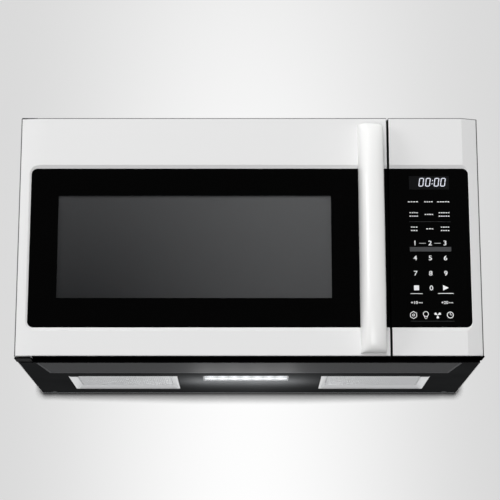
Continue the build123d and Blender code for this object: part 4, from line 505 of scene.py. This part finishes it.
# Cooktop lamp. A clear polycarbonate lens in the underside, under a black moulded housing with a white
# board and seven light-emitting diodes. Small soft lights below it stand for the glow on the tray.
# Clear polycarbonate: colourless, nearly all see-through, with a fine prism texture to spread the light.
clear_lens = coat("clear_lens", Base_Color=linear("F6F8FA"), Roughness=0.25, IOR=1.58, Alpha=0.12)
tree, shader, spot = opened(clear_lens)
prisms = add(tree, "ShaderNodeTexVoronoi", {"Vector": spot, "Scale": 450})
relief(tree, shader, prisms.outputs["Distance"], 0.00003)
dress(clear_lens, "lamp_lens")
# Black ABS: a fine moulded grain, satin.
black_abs = coat("black_abs", (1300, 2, 0.00003), Base_Color=linear("0C0C0D"), Roughness=0.5)
dress(black_abs, "lamp_housing", "display_module", "fan_shroud", "latch_body", "thermal_cutouts")
# The trims under the door and the panel and the choke's cover: the same plastic, textured dead matt.
matt_black_abs = coat(
    "matt_black_abs", (1100, 2, 0.00004), Base_Color=linear("010101"), Roughness=0.8, Specular_IOR_Level=0.0,
)
dress(matt_black_abs, "choke_cover", "control_bottom_trim", "door_bottom_trim")
# Opal acrylic light guide, lit: an even cool white with a brighter bead in front of each diode.
lit_opal = coat(
    "lit_opal", Base_Color=linear("202224"), Roughness=0.5, Specular_IOR_Level=0.05,
    Emission_Color=linear("F6FAFF"),
)
tree, shader, spot = opened(lit_opal)
axis = add(tree, "ShaderNodeSeparateXYZ", {"Vector": spot})
LED_MIDDLE_X, LED_Y, LED_PITCH = -0.00585, 0.039, 0.020
GUIDE = (-0.0772, 0.0655, 0.0123, 0.0657)  # left, right, front and rear edge of the light guide
step = add(tree, "ShaderNodeMath", {0: axis.outputs["X"], 1: LED_MIDDLE_X}, operation="SUBTRACT")
within = add(tree, "ShaderNodeMath", {0: step, 1: 0.5 * LED_PITCH}, operation="PINGPONG")
near = add(tree, "ShaderNodeMath", {0: axis.outputs["Y"], 1: LED_Y}, operation="SUBTRACT")
row = add(tree, "ShaderNodeMath", {0: near}, operation="ABSOLUTE")
middle = add(tree, "ShaderNodeMapRange", {
    "Value": row, "From Min": 0.002, "From Max": 0.010, "To Min": 0.42, "To Max": 1.0,
})
beads = add(tree, "ShaderNodeMapRange", {
    "Value": within, "From Max": 0.5 * LED_PITCH, "To Min": 1.0, "To Max": 0.50,
})
add(
    tree, "ShaderNodeMath", {0: middle, 1: beads}, shader.inputs["Emission Strength"],
    operation="MULTIPLY",
)
dress(lit_opal, "lamp_board")
shape = bmesh.new()
join_loops(shape, [box_loop(shape, *GUIDE, z, 0.002) for z in (0.0027, 0.0039)])
guide = show("lamp_light_guide", mesh_of(shape, "lamp_light_guide", 30), lit_opal)
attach(guide, "cabinet")
for number, x in enumerate((-0.075, -0.029, 0.017, 0.063)):
    lamp = soft_lamp(f"cooktop_glow_{number}", (x, 0.066, -0.050), 0.03, 0.068)
    lamp.rotation_euler = (math.pi, 0, 0)
    lamp.visible_camera = False


# Oven cavity. Pressed steel box with baked grey enamel, its mica cover over the wave guide's mouth, and a
# small lamp behind the holes near the right front corner of its roof.
# Vitreous enamel: smooth, glossy, with tiny darker specks about 1 mm apart.
grey_enamel = coat("grey_enamel", Roughness=0.28, Coat_Weight=0.3)
tree, shader, spot = opened(grey_enamel)
specks = add(tree, "ShaderNodeTexNoise", {"Vector": spot, "Scale": 900, "Detail": 1})
add(
    tree, "ShaderNodeValToRGB", {"Fac": specks}, shader.inputs["Base Color"],
    ((0.30, "7E7E7C"), (0.36, "B4B4B1")),
)
dress(grey_enamel, "oven_cavity")
# Pressed mica: a brownish silvery sheet with flakes a few millimetres across.
pressed_mica = coat("pressed_mica", Roughness=0.5)
tree, shader, spot = opened(pressed_mica)
flakes = add(tree, "ShaderNodeTexVoronoi", {"Vector": spot, "Scale": 260})
add(
    tree, "ShaderNodeValToRGB", {"Fac": flakes.outputs["Color"]}, shader.inputs["Base Color"],
    ((0, "A89F8A"), (1, "C6BDA9")),
)
dress(pressed_mica, "mica_cover")
lamp = soft_lamp("cavity_lamp_light", (0.121, -0.059, 0.3080), 0.05, 0.16)
lamp.data.color = (1.0, 0.97, 0.93)
lamp.visible_camera = False


# Turntable. Pressed clear glass tray on a moulded roller ring, driven by a moulded coupler on the motor
# under the floor.
# Clear soda glass: colourless with a faint green body and a slightly wavy pressed surface.
clear_pressed_glass = coat(
    "clear_pressed_glass", (40, 1, 0.0002), Base_Color=linear("F3FAF7"), Roughness=0.03, IOR=1.52,
    Transmission_Weight=1.0,
)
dress(clear_pressed_glass, "turntable_tray", "inner_window")
# Natural acetal: a creamy white waxy plastic that lets a little light in.
natural_acetal = coat(
    "natural_acetal", (800, 1, 0.00002), Base_Color=linear("E9E6DA"), Roughness=0.4,
    Subsurface_Weight=0.1, Subsurface_Scale=0.002,
)
dress(natural_acetal, "hinge_bushes", "roller_1", "roller_2", "roller_3", "roller_ring", "turntable_coupler")


# Power parts on the shelf. A varnished laminated transformer with copper windings, the magnetron with its
# aluminium fins, its can capacitor, and the mains filter board on the back plate.
# Varnished laminations: dark brownish grey steel sheets 0.5 mm thick, drawn 2 mm apart so that they show.
varnished_laminations = coat("varnished_laminations", Metallic=0.6, Roughness=0.5)
tree, shader, spot = opened(varnished_laminations)
sheets = add(tree, "ShaderNodeTexWave", {
    "Vector": spot, "Scale": 80, "Distortion": 0.3,
}, bands_direction="Y")
add(tree, "ShaderNodeValToRGB", {"Fac": sheets}, shader.inputs["Base Color"], ((0, "3F3B38"), (1, "716C68")))
relief(tree, shader, sheets, 0.0001)
dress(varnished_laminations, "blower_motor", "fan_motor", "transformer_core")
# Enamelled copper wire: warm reddish metal in close turns about 2 mm apart.
copper_turns = coat("copper_turns", Base_Color=linear("B5713F"), Metallic=1.0, Roughness=0.35)
tree, shader, spot = opened(copper_turns)
turns = add(tree, "ShaderNodeTexWave", {
    "Vector": spot, "Scale": 80, "Distortion": 0.2,
}, bands_direction="Z")
relief(tree, shader, turns, 0.0006)
dress(copper_turns, "transformer_windings")
# Pressed aluminium: bare cans and fins, satin with fine scuffs.
pressed_aluminium = coat(
    "pressed_aluminium", (240, 4, 0.00003), Base_Color=linear("CFD0D2"), Metallic=1.0, Roughness=0.36,
)
dress(pressed_aluminium, "capacitor", "magnetron")
# Solder mask on glass fibre board: glossy green with the copper tracks as paler bands under it.
green_solder_mask = coat("green_solder_mask", Roughness=0.3)
tree, shader, spot = opened(green_solder_mask)
add(tree, "ShaderNodeTexBrick", {
    "Vector": spot, "Scale": 90, "Color1": linear("17472B"), "Color2": linear("1B5232"),
    "Mortar": linear("2C7048"), "Mortar Size": 0.06,
}, shader.inputs["Base Color"])
dress(green_solder_mask, "control_board", "noise_filter_board")
# Grey ABS: satin with a fine moulded grain.
grey_abs = coat("grey_abs", (1300, 2, 0.00003), Base_Color=linear("8E9092"), Roughness=0.48)
dress(grey_abs, "blower_wheels", "door_key", "fan_blade", "interlock_switches")


# Top vent. A white moulded louvre in the cabinet's top, over a bed of carbon granules in a frame. The two
# frames of the oven's front are moulded of the same white plastic.
# Carbon granules: matt black grains 3 mm across.
carbon_granules = coat("carbon_granules", Base_Color=linear("171717"), Roughness=0.9)
tree, shader, spot = opened(carbon_granules)
grains = add(tree, "ShaderNodeTexVoronoi", {"Vector": spot, "Scale": 330})
relief(tree, shader, grains.outputs["Distance"], 0.0012)
dress(carbon_granules, "charcoal_filter")
# Moulded ABS, white: a satin skin with a very faint flow in it.
white_abs = coat("white_abs", (700, 2, 0.00002), Base_Color=linear("E6E6E6"), Roughness=0.4)
dress(white_abs, "top_vent_grille")
# The same white on the two front frames, with a thin grey painted shade line round the rim, and painted
# black shade where the frames face each other across the gap.
RIM_X, RIM_Z = 0.3776, 0.4044  # where the painted shade line starts, at the sides and at the top
GAP_REACH = 0.0020  # how far the painted black shade reaches from the gap's middle
rimmed_white_abs = coat("rimmed_white_abs", (700, 2, 0.00002), Roughness=0.4)
tree, shader, spot = opened(rimmed_white_abs)
axis = add(tree, "ShaderNodeSeparateXYZ", {"Vector": spot})
off = add(tree, "ShaderNodeMath", {0: axis.outputs["X"]}, operation="ABSOLUTE")
side_rim = add(tree, "ShaderNodeMath", {0: off, 1: RIM_X}, operation="GREATER_THAN")
top_rim = add(tree, "ShaderNodeMath", {0: axis.outputs["Z"], 1: RIM_Z}, operation="GREATER_THAN")
edge = add(tree, "ShaderNodeMath", {0: side_rim, 1: top_rim}, operation="MAXIMUM")
fall = add(tree, "ShaderNodeMapRange", {
    "Value": off, "From Min": 0.335, "From Max": 0.3795, "To Min": -0.1645, "To Max": -0.1570,
})
ahead = add(tree, "ShaderNodeMath", {0: axis.outputs["Y"], 1: fall}, operation="LESS_THAN")
rim = add(tree, "ShaderNodeMath", {0: edge, 1: ahead}, operation="MULTIPLY")
GAP_MIDDLE = (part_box("door_frame")[1].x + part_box("control_frame")[0].x) / 2
across = add(tree, "ShaderNodeMath", {0: axis.outputs["X"], 1: GAP_MIDDLE}, operation="SUBTRACT")
away = add(tree, "ShaderNodeMath", {0: across}, operation="ABSOLUTE")
painted_gap_shade = add(tree, "ShaderNodeMath", {0: away, 1: GAP_REACH}, operation="LESS_THAN")
painted_rim_shade = add(tree, "ShaderNodeMath", {0: rim, 1: 0.5}, operation="MULTIPLY")
painted_rim_and_gap_shade = add(tree, "ShaderNodeMath", {0: painted_gap_shade, 1: painted_rim_shade}, operation="MAXIMUM")
add(
    tree, "ShaderNodeValToRGB", {"Fac": painted_rim_and_gap_shade}, shader.inputs["Base Color"],
    ((0, "E6E6E6"), (0.5, "58595A"), (1, "050505")),
)
dress(rimmed_white_abs, "door_frame", "control_frame")
# Black rubber: matt, with a dusty grain.
black_rubber = coat("black_rubber", (500, 3, 0.00005), Base_Color=linear("1B1B1C"), Roughness=0.8)
dress(black_rubber, "cord_grommet")


# Door glass. Tempered glass in the white moulding, with a black border fired on its back and a smoke grey
# tint on the window that it leaves.
# Tempered glass: a polished face; it is dead black where the ink backs it and clear at the window.
WINDOW = (-0.3143, 0.1348, 0.1007, 0.2736)  # the clear part of the glass: left, right, bottom, top
tempered_glass = coat("tempered_glass", (6, 0, 0.00002), Base_Color=linear("040404"), Roughness=0.02, IOR=1.5)
tree, shader, spot = opened(tempered_glass)
axis = add(tree, "ShaderNodeSeparateXYZ", {"Vector": spot})
gates = []
for way, (start, end) in (("X", WINDOW[:2]), ("Z", WINDOW[2:])):
    middle = (start + end) / 2
    off = add(tree, "ShaderNodeMath", {0: axis.outputs[way], 1: middle}, operation="SUBTRACT")
    size = add(tree, "ShaderNodeMath", {0: off}, operation="ABSOLUTE")
    gates.append(add(tree, "ShaderNodeMath", {0: size, 1: (end - start) / 2}, operation="GREATER_THAN"))
inked = add(tree, "ShaderNodeMath", {0: gates[0], 1: gates[1]}, operation="MAXIMUM")
add(tree, "ShaderNodeMapRange", {"Value": inked, "To Min": 0.28, "To Max": 1.0}, shader.inputs["Alpha"])
dress(tempered_glass, "door_glass")
# Smoke tint: a half see-through grey film with a fine haze in it; its grey is painted light, paler to the top
# right.
smoke_tint = coat("smoke_tint", (900, 1, 0.00001), Roughness=0.6, Specular_IOR_Level=0.1, Alpha=0.86)
tree, shader, spot = opened(smoke_tint)
axis = add(tree, "ShaderNodeSeparateXYZ", {"Vector": spot})
# Painted light: the grey grows paler to the right and upwards.
across = add(tree, "ShaderNodeMapRange", {
    "Value": axis.outputs["X"], "From Min": -0.31, "From Max": 0.10, "To Min": 0.0, "To Max": 0.62,
}, interpolation_type="SMOOTHSTEP")
up = add(tree, "ShaderNodeMapRange", {
    "Value": axis.outputs["Z"], "From Min": 0.10, "From Max": 0.27, "To Min": 0.0, "To Max": 0.38,
})
rise = add(tree, "ShaderNodeMath", {0: across, 1: up}, operation="ADD")
add(tree, "ShaderNodeValToRGB", {"Fac": rise}, shader.inputs["Base Color"], ((0, "505153"), (1, "A2A3A5")))
# Ceramic ink, black, fired on the back of the glass: dead black under the polish.
black_ceramic_ink = coat("black_ceramic_ink", (900, 1, 0.00001), Base_Color=linear("050506"), Roughness=0.6)


def upright_loop(shape, x0, x1, z0, z1, y):
    """An upright rectangle of points."""
    return [shape.verts.new((x, y, z)) for x, z in ((x0, z0), (x1, z0), (x1, z1), (x0, z1))]


low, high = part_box("door_glass")
CUT_EDGE = 0.0006  # the bare rim of the glass round the ink, m
rim = (low.x + CUT_EDGE, high.x - CUT_EDGE, low.z + CUT_EDGE, high.z - CUT_EDGE)
near, far = high.y + 0.0001, high.y + 0.0003
shape = bmesh.new()
loops = [
    upright_loop(shape, *edges, y) for edges, y in ((rim, near), (rim, far), (WINDOW, far), (WINDOW, near))
]
join_loops(shape, loops, "joined")
border = show("window_border", mesh_of(shape, "window_border"), black_ceramic_ink)
shape = bmesh.new()
join_loops(shape, [upright_loop(shape, *WINDOW, y) for y in (near, high.y + 0.0002)])
tinted = show("window_tint", mesh_of(shape, "window_tint"), smoke_tint)
for piece in (border, tinted):
    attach(piece, "door")


# Inner door. Black enamelled steel panel with a finely punched screen behind the window, a choke ring in
# folded steel with its moulded cover, and a clear inner window.
# Black enamel on steel: smooth and semi-gloss.
black_enamel = coat("black_enamel", (700, 1, 0.00002), Base_Color=linear("232425"), Roughness=0.4)


low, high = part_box("door_inner_panel")
SHEET = 0.0012  # the panel's own thickness, m
SCREEN_LAP = 0.004  # how far the screen reaches past the window's clear part
SLOT_X0, SLOT_X1 = 0.2130, 0.2220  # the two slots of the key's hooks
SLOTS_Z = ((0.1090, 0.1300), (0.2790, 0.3000))
CAVITY = (-0.330, 0.190, 0.060, 0.310)  # the oven's mouth: left, right, bottom, top
CHOKE = 0.022  # how far the outer choke wall stands off the inner one
screen_x0, screen_x1 = WINDOW[0] - SCREEN_LAP, WINDOW[1] + SCREEN_LAP
screen_z0, screen_z1 = WINDOW[2] - SCREEN_LAP, WINDOW[3] + SCREEN_LAP
shape = bmesh.new()
for x0, x1, z0, z1 in (
    (low.x, screen_x0, low.z, high.z), (screen_x1, SLOT_X0, low.z, high.z),
    (screen_x0, screen_x1, low.z, screen_z0), (screen_x0, screen_x1, screen_z1, high.z),
    (SLOT_X1, high.x, low.z, high.z), (SLOT_X0, SLOT_X1, low.z, SLOTS_Z[0][0]),
    (SLOT_X0, SLOT_X1, SLOTS_Z[0][1], SLOTS_Z[1][0]), (SLOT_X0, SLOT_X1, SLOTS_Z[1][1], high.z),
):
    join_loops(shape, [box_loop(shape, x0, x1, low.y, low.y + SHEET, z) for z in (z0, z1)])
for grow in (CHOKE, 0.0):
    loops = []
    for inset, y in ((0, low.y + SHEET), (0, high.y), (SHEET, high.y), (SHEET, low.y + SHEET)):
        out = grow - inset
        loops.append(upright_loop(
            shape, CAVITY[0] - out, CAVITY[1] + out, CAVITY[2] - out, CAVITY[3] + out, y,
        ))
    join_loops(shape, loops, "joined")
panel_data = bpy.data.meshes.new("door_panel_sheet")
bmesh.ops.recalc_face_normals(shape, faces=shape.faces)
shape.to_mesh(panel_data)
shape.free()
panel = show("door_panel_sheet", panel_data, black_enamel)


def punched_cell(pitch, hole, sheet):
    """A six-sided bit of punched sheet round a six-sided hole along Z, open where its neighbours meet it."""
    shape = bmesh.new()
    side = pitch / math.sqrt(3)
    join_loops(shape, [
        ring_loop(shape, radius, z, 6, start=math.pi / 6)
        for radius, z in ((side, sheet), (hole, sheet), (hole, 0), (side, 0))
    ], "open")
    return mesh_of(shape, "punched_cell")


PITCH = 0.0042  # coarser than real, so that the cells stay few
ROW_STEP = PITCH * math.sqrt(3) / 2
places = [
    (screen_x0 + (column + 0.5 * (row % 2)) * PITCH, low.y + 0.0010, screen_z0 + row * ROW_STEP)
    for row in range(int((screen_z1 - screen_z0) / ROW_STEP) + 1)
    for column in range(int((screen_x1 - screen_x0) / PITCH) + 1)
]
screen = scatter("door_screen", punched_cell(PITCH, 0.0017, 0.0008), places, black_enamel, (0, -1, 0))
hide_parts("door_inner_panel")
for piece in (panel, screen):
    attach(piece, "door")


# Latch spring. Eight turns of 0.8 mm zinc plated wire, wound open, between the door key's top and a seat in
# the door frame. It presses the key down and shortens as the hooks lift; this coil is built at one length.
low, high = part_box("latch_spring")
middle = (low + high) / 2
COIL_TURNS, COIL_RADIUS, WIRE_RADIUS = 8, 0.0020, 0.0004
coil = bpy.data.curves.new("latch_spring_coil", "CURVE")
coil.dimensions = "3D"
coil.bevel_depth = WIRE_RADIUS
coil.bevel_resolution = 1
coil.use_fill_caps = True
wire = coil.splines.new("POLY")
steps = 12 * COIL_TURNS
wire.points.add(steps)
for step, point in enumerate(wire.points):
    turn = 2 * math.pi * COIL_TURNS * step / steps
    point.co = (
        middle.x + COIL_RADIUS * math.cos(turn), middle.y + COIL_RADIUS * math.sin(turn),
        low.z + 0.0005 + (high.z - low.z - 0.001) * step / steps, 1,
    )
spring = flatten(show("latch_spring_coil", coil, zinc_plate))
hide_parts("latch_spring")
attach(spring, "door")
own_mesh(spring)
dress(zinc_plate, "handle_screws")


# Door handle. A glossy white moulding screwed on from inside the door: a blade that bows out from the
# door's face, hollow behind and open to the right for the fingers, with solid ends.
# Moulded ABS with a polished tool face: bright white, a clear soft highlight.
glossy_white_abs = coat("glossy_white_abs", (60, 1, 0.00003), Base_Color=linear("F4F4F3"), Roughness=0.24)
low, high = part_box("door_handle")
BLADE_WIDTH = high.x - low.x
BLADE_DEPTH = high.y - low.y
BLADE_CREST = 0.42  # across to the crest, as a share of the width
BLADE_TIP = 0.7  # its depth at the right edge, as a share of the reach
BLADE_CORNER = 0.0065  # the rounding of its top right corner
BLADE_END = 0.28  # how far its ends stand out, as a share of the depth
HOLLOW_LEFT, HOLLOW_TIP = 0.15, 0.97  # the finger space's sides, as shares of the width
HOLLOW_CREST, HOLLOW_LIP = 0.86, 0.58  # its depth at the crest and at the tip, as shares of the reach


def blade_reach(z):
    """How far the blade stands out at a height."""
    half = (high.z - low.z) / 2
    share = (z - low.z - half) / half
    return BLADE_DEPTH * (BLADE_END + (1 - BLADE_END) * max(0.0, 1 - share * share) ** 0.4)


def blade_curve(left, crest_reach, tip, tip_reach, reach, steps=20):
    """Two quarter ellipses in plan from the door's face over the crest to a tip, in metres."""
    turns = [math.pi / 2 * step / steps for step in range(steps + 1)]
    curve = [
        (BLADE_CREST - (BLADE_CREST - left) * math.cos(turn), crest_reach * math.sin(turn)) for turn in turns
    ] + [
        (BLADE_CREST + (tip - BLADE_CREST) * math.sin(turn),
         tip_reach + (crest_reach - tip_reach) * math.cos(turn)) for turn in turns[1:]
    ]
    return [(low.x + x * BLADE_WIDTH, high.y - y * reach) for x, y in curve]


def blade_body(outline, bottom, top, sections):
    """A closed mesh through the outlines at heights that crowd towards both ends."""
    shape = bmesh.new()
    loops = []
    for number in range(sections):
        z = (bottom + top) / 2 - (top - bottom) / 2 * math.cos(math.pi * number / (sections - 1))
        loops.append([shape.verts.new((x, y, z)) for x, y in outline(z)])
    join_loops(shape, loops)
    return mesh_of(shape, "blade", 40)


def outside(z):
    """The blade's outline at a height, its right edge drawn in at the rounded top corner."""
    reach = blade_reach(z)
    over = max(0.0, z - (high.z - BLADE_CORNER))
    drawn_in = BLADE_CORNER - math.sqrt(max(0.0, BLADE_CORNER ** 2 - over ** 2))
    share = 1 - drawn_in / BLADE_WIDTH
    curve = blade_curve(0, 1, 1, BLADE_TIP, reach) + [(high.x, high.y)]
    return [(low.x + (x - low.x) * share, y) for x, y in curve]


def inside(z):
    """The finger space's outline at a height."""
    reach = blade_reach(z)
    mouth = low.x + 1.1 * BLADE_WIDTH
    behind = high.y + 0.002
    return blade_curve(HOLLOW_LEFT, HOLLOW_CREST, HOLLOW_TIP, HOLLOW_LIP, reach) + [
        (mouth, high.y - HOLLOW_LIP * reach), (mouth, behind), (low.x + HOLLOW_LEFT * BLADE_WIDTH, behind),
    ]


SOLID_END = 0.036  # the length of each end that isn't hollow, m
handle = show("handle_blade", blade_body(outside, low.z, high.z, 73), glossy_white_abs)
hollow_body = blade_body(inside, low.z + SOLID_END, high.z - SOLID_END, 61)
hollow = show("handle_hollow", hollow_body, glossy_white_abs)
cut = handle.modifiers.new("hollow", "BOOLEAN")
cut.object = hollow
cut.operation = "DIFFERENCE"
cut.solver = "EXACT"
handle = flatten(handle)
bpy.data.objects.remove(hollow)
handle.data.shade_smooth()
handle.data.set_sharp_from_angle(angle=math.radians(38))
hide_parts("door_handle")
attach(handle, "door")


# Control panel. A pane of black glass in the white frame, printed white behind: a clock with seven
# segment digits, number keys, small marks for the other keys, and a touch film on its back.
# Black glass: a polished dead black face.
black_glass = coat("black_glass", (6, 0, 0.00002), Base_Color=linear("050505"), Roughness=0.06, IOR=1.5)
dress(black_glass, "control_glass")
# Screen printing ink: flat white, a hair thick.
white_print = coat("white_print", (2500, 1, 0.000005), Base_Color=linear("F4F5F6"), Roughness=0.6)
# The same ink, grey.
grey_print = coat("grey_print", (2500, 1, 0.000005), Base_Color=linear("424345"), Roughness=0.6)
# The display's filter: a charcoal film, a little paler than the glass.
smoke_film = coat("smoke_film", (600, 1, 0.00001), Base_Color=linear("0D0E10"), Roughness=0.35)
# Lit segments: bluish white light through the film.
lit_segments = coat(
    "lit_segments", (1500, 0, 0.000005), Base_Color=linear("A8ACB6"), Roughness=0.5,
    Emission_Color=linear("F0F2FC"), Emission_Strength=0.62,
)

GLASS_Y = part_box("control_glass")[0].y
PRINT = 0.00006  # how far the ink stands off the glass, m
BACK_Y, FACE_Y = GLASS_Y - 0.00001, GLASS_Y - PRINT


def plate(shape, corners, lift=0.0):
    """Adds a thin print with these corners (x, z, in mm) to a bmesh."""
    join_loops(shape, [
        [shape.verts.new((x / 1000, y - lift, z / 1000)) for x, z in corners] for y in (BACK_Y, FACE_Y)
    ])


def bar(shape, x, z, width, height, lean=0.0, lift=0.0):
    """Adds a print of a bar about a middle; lean slants it to the right."""
    low_z, high_z = z - height / 2, z + height / 2
    slant = lean * height / 2
    plate(shape, [
        (x - width / 2 - slant, low_z), (x + width / 2 - slant, low_z),
        (x + width / 2 + slant, high_z), (x - width / 2 + slant, high_z),
    ], lift)


def line(shape, points, width):
    """Adds a print of a line through points, with square ends."""
    for start, end in zip(points, points[1:]):
        along = (Vector(end) - Vector(start)).normalized() * width / 2
        across = Vector((along.y, -along.x))
        back, ahead = Vector(start) - along, Vector(end) + along
        plate(shape, [back + across, ahead + across, ahead - across, back - across])


def circle(shape, x, z, radius, width, sides=24, start=0.0):
    """Adds a print of a ring with so many sides."""
    turns = [start + 2 * math.pi * side / sides for side in range(sides)]
    inner = radius - width
    loops = [
        [shape.verts.new(((x + size * math.cos(turn)) / 1000, y, (z + size * math.sin(turn)) / 1000))
         for turn in turns]
        for size, y in ((radius, BACK_Y), (radius, FACE_Y), (inner, FACE_Y), (inner, BACK_Y))
    ]
    join_loops(shape, loops, "joined")


# The display's window and its digits, in mm. Each digit is six strokes, so it reads as a nought.
shape = bmesh.new()
bar(shape, 296.8, 295.0, 65.8, 22.9)
film = show("display_film", mesh_of(shape, "display_film"), smoke_film)
shape = bmesh.new()
DIGIT_WIDTH, DIGIT_HEIGHT, STROKE = 7.9, 14.6, 1.35
DIGIT_Z = 295.9
LEAN = 0.14  # how far they lean to the right for each unit up
for x in (285.4, 296.4, 310.6, 321.2):
    for dx, dz in ((0, 0.5), (0, -0.5), (-0.5, 0.25), (0.5, 0.25), (-0.5, -0.25), (0.5, -0.25)):
        z = DIGIT_Z + dz * (DIGIT_HEIGHT - STROKE)
        middle_x = x - 1.2 + dx * (DIGIT_WIDTH - STROKE) + (z - DIGIT_Z) * LEAN
        width, height = STROKE, DIGIT_HEIGHT / 2 - STROKE + 0.1
        if dx == 0:
            width, height = DIGIT_WIDTH - 2 * STROKE, STROKE
        bar(shape, middle_x, z, width, height, LEAN, PRINT)
for z in (293.2, 298.8):
    bar(shape, 302.4 + (z - DIGIT_Z) * LEAN, z, 1.5, 1.5, LEAN, PRINT)
segments = show("display_segments", mesh_of(shape, "display_segments"), lit_segments)

# Number keys, in a plain sans letter, 8 mm high, and two smaller ones with plus signs.
COLUMNS, ROWS = (271.5, 296.2, 320.8), (192.2, 167.1, 141.5)
BIG, SMALL = 11.2, 6.6  # the letter's sizes
keys = [
    (str(3 * row + column + 1), COLUMNS[column], ROWS[row], BIG) for row in range(3) for column in range(3)
]
keys += [("0", 296.6, 117.0, BIG), ("+10", 268.2, 92.9, SMALL), ("+20", 317.6, 92.9, SMALL)]
shape = bmesh.new()
for words, x, z, size in keys:
    text = bpy.data.curves.new("key_number", "FONT")
    text.body = words
    text.size = size / 1000
    text.align_x = "CENTER"
    text.align_y = "CENTER"
    text.extrude = PRINT / 2
    text.offset = 0.00008
    text.resolution_u = 3
    number = flatten(show("key_number", text))
    number.data.transform(
        Matrix.Translation((x / 1000, GLASS_Y - PRINT / 2, z / 1000))
        @ Matrix.Rotation(math.pi / 2, 4, "X") @ Matrix.Diagonal((1.15, 1, 1, 1))
    )
    shape.from_mesh(number.data)
    bpy.data.objects.remove(number)
numbers_data = bpy.data.meshes.new("key_numbers")
bmesh.ops.remove_doubles(shape, verts=shape.verts, dist=1e-7)
shape.to_mesh(numbers_data)
shape.free()
numbers = show("key_numbers", numbers_data, white_print)

# Plain marks for the other keys: short bars in place of words, two lines where the key has two.
shape = bmesh.new()
for x, z, width, lines in (
    (269.6, 262.5, 18, 1), (295.2, 262.5, 15, 1), (319.6, 262.5, 21, 1),
    (270.6, 241.0, 15, 2), (295.6, 241.0, 15, 1), (320.4, 241.0, 19, 2),
    (270.8, 216.6, 12, 2), (296.4, 216.6, 13, 1), (321.4, 216.6, 15, 2),
):
    for row in range(lines):
        middle_z = z + (2.9 if row == 0 else -2.9) * (lines - 1)
        dashes = max(2, round(width / 4.0))
        for dash in range(dashes):
            step = width / dashes
            bar(shape, x - width / 2 + (dash + 0.5) * step, middle_z, 0.66 * step, 1.5)
for x in (283.9, 308.5):
    bar(shape, x, 192.2, 10.5, 0.5)
for x in (278.6, 328.2):
    for dash in (-2.3, 0.0, 2.3):
        bar(shape, x + dash, 92.9, 1.4, 1.5)
for x, z, width in ((319.8, 108.3, 25.2), (272.4, 108.0, 20.0)):
    bar(shape, x, z, width, 0.9)
# Stop is a square in a ring, start is a triangle.
bar(shape, 272.5, 117.6, 8.2, 8.2)
plate(shape, [(315.6, 113.0), (324.8, 117.6), (315.6, 122.2)])
# Settings, lamp, fan and clock.
circle(shape, 266.6, 72.6, 6.4, 1.1, sides=6, start=math.pi / 6)
circle(shape, 266.6, 72.6, 2.1, 0.8)
circle(shape, 286.6, 74.2, 4.6, 1.0)
line(shape, [(284.0, 70.4), (285.4, 66.6), (287.8, 66.6), (289.2, 70.4)], 0.9)
for turn in (270, 30, 150):
    way = Matrix.Rotation(math.radians(turn), 2)
    plate(shape, [
        Vector((305.8, 72.6)) + way @ Vector(corner) for corner in ((0, 0), (4.7, -2.3), (6.0, 0), (4.7, 2.3))
    ])
circle(shape, 326.2, 72.6, 5.5, 1.1)
line(shape, [(326.2, 76.0), (326.2, 72.6), (329.0, 72.6)], 1.0)
marks = show("key_marks", mesh_of(shape, "key_marks"), white_print)

# Grey prints: the bar under the first number row and the faint lines between groups of keys.
shape = bmesh.new()
bar(shape, 296.8, 182.2, 67.8, 7.4)
bar(shape, 296.8, 228.6, 68.0, 0.35)
bar(shape, 297.4, 62.4, 71.0, 0.35)
greys = show("key_bar", mesh_of(shape, "key_bar"), grey_print)
for piece in (film, segments, numbers, marks, greys):
    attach(piece, "cabinet")
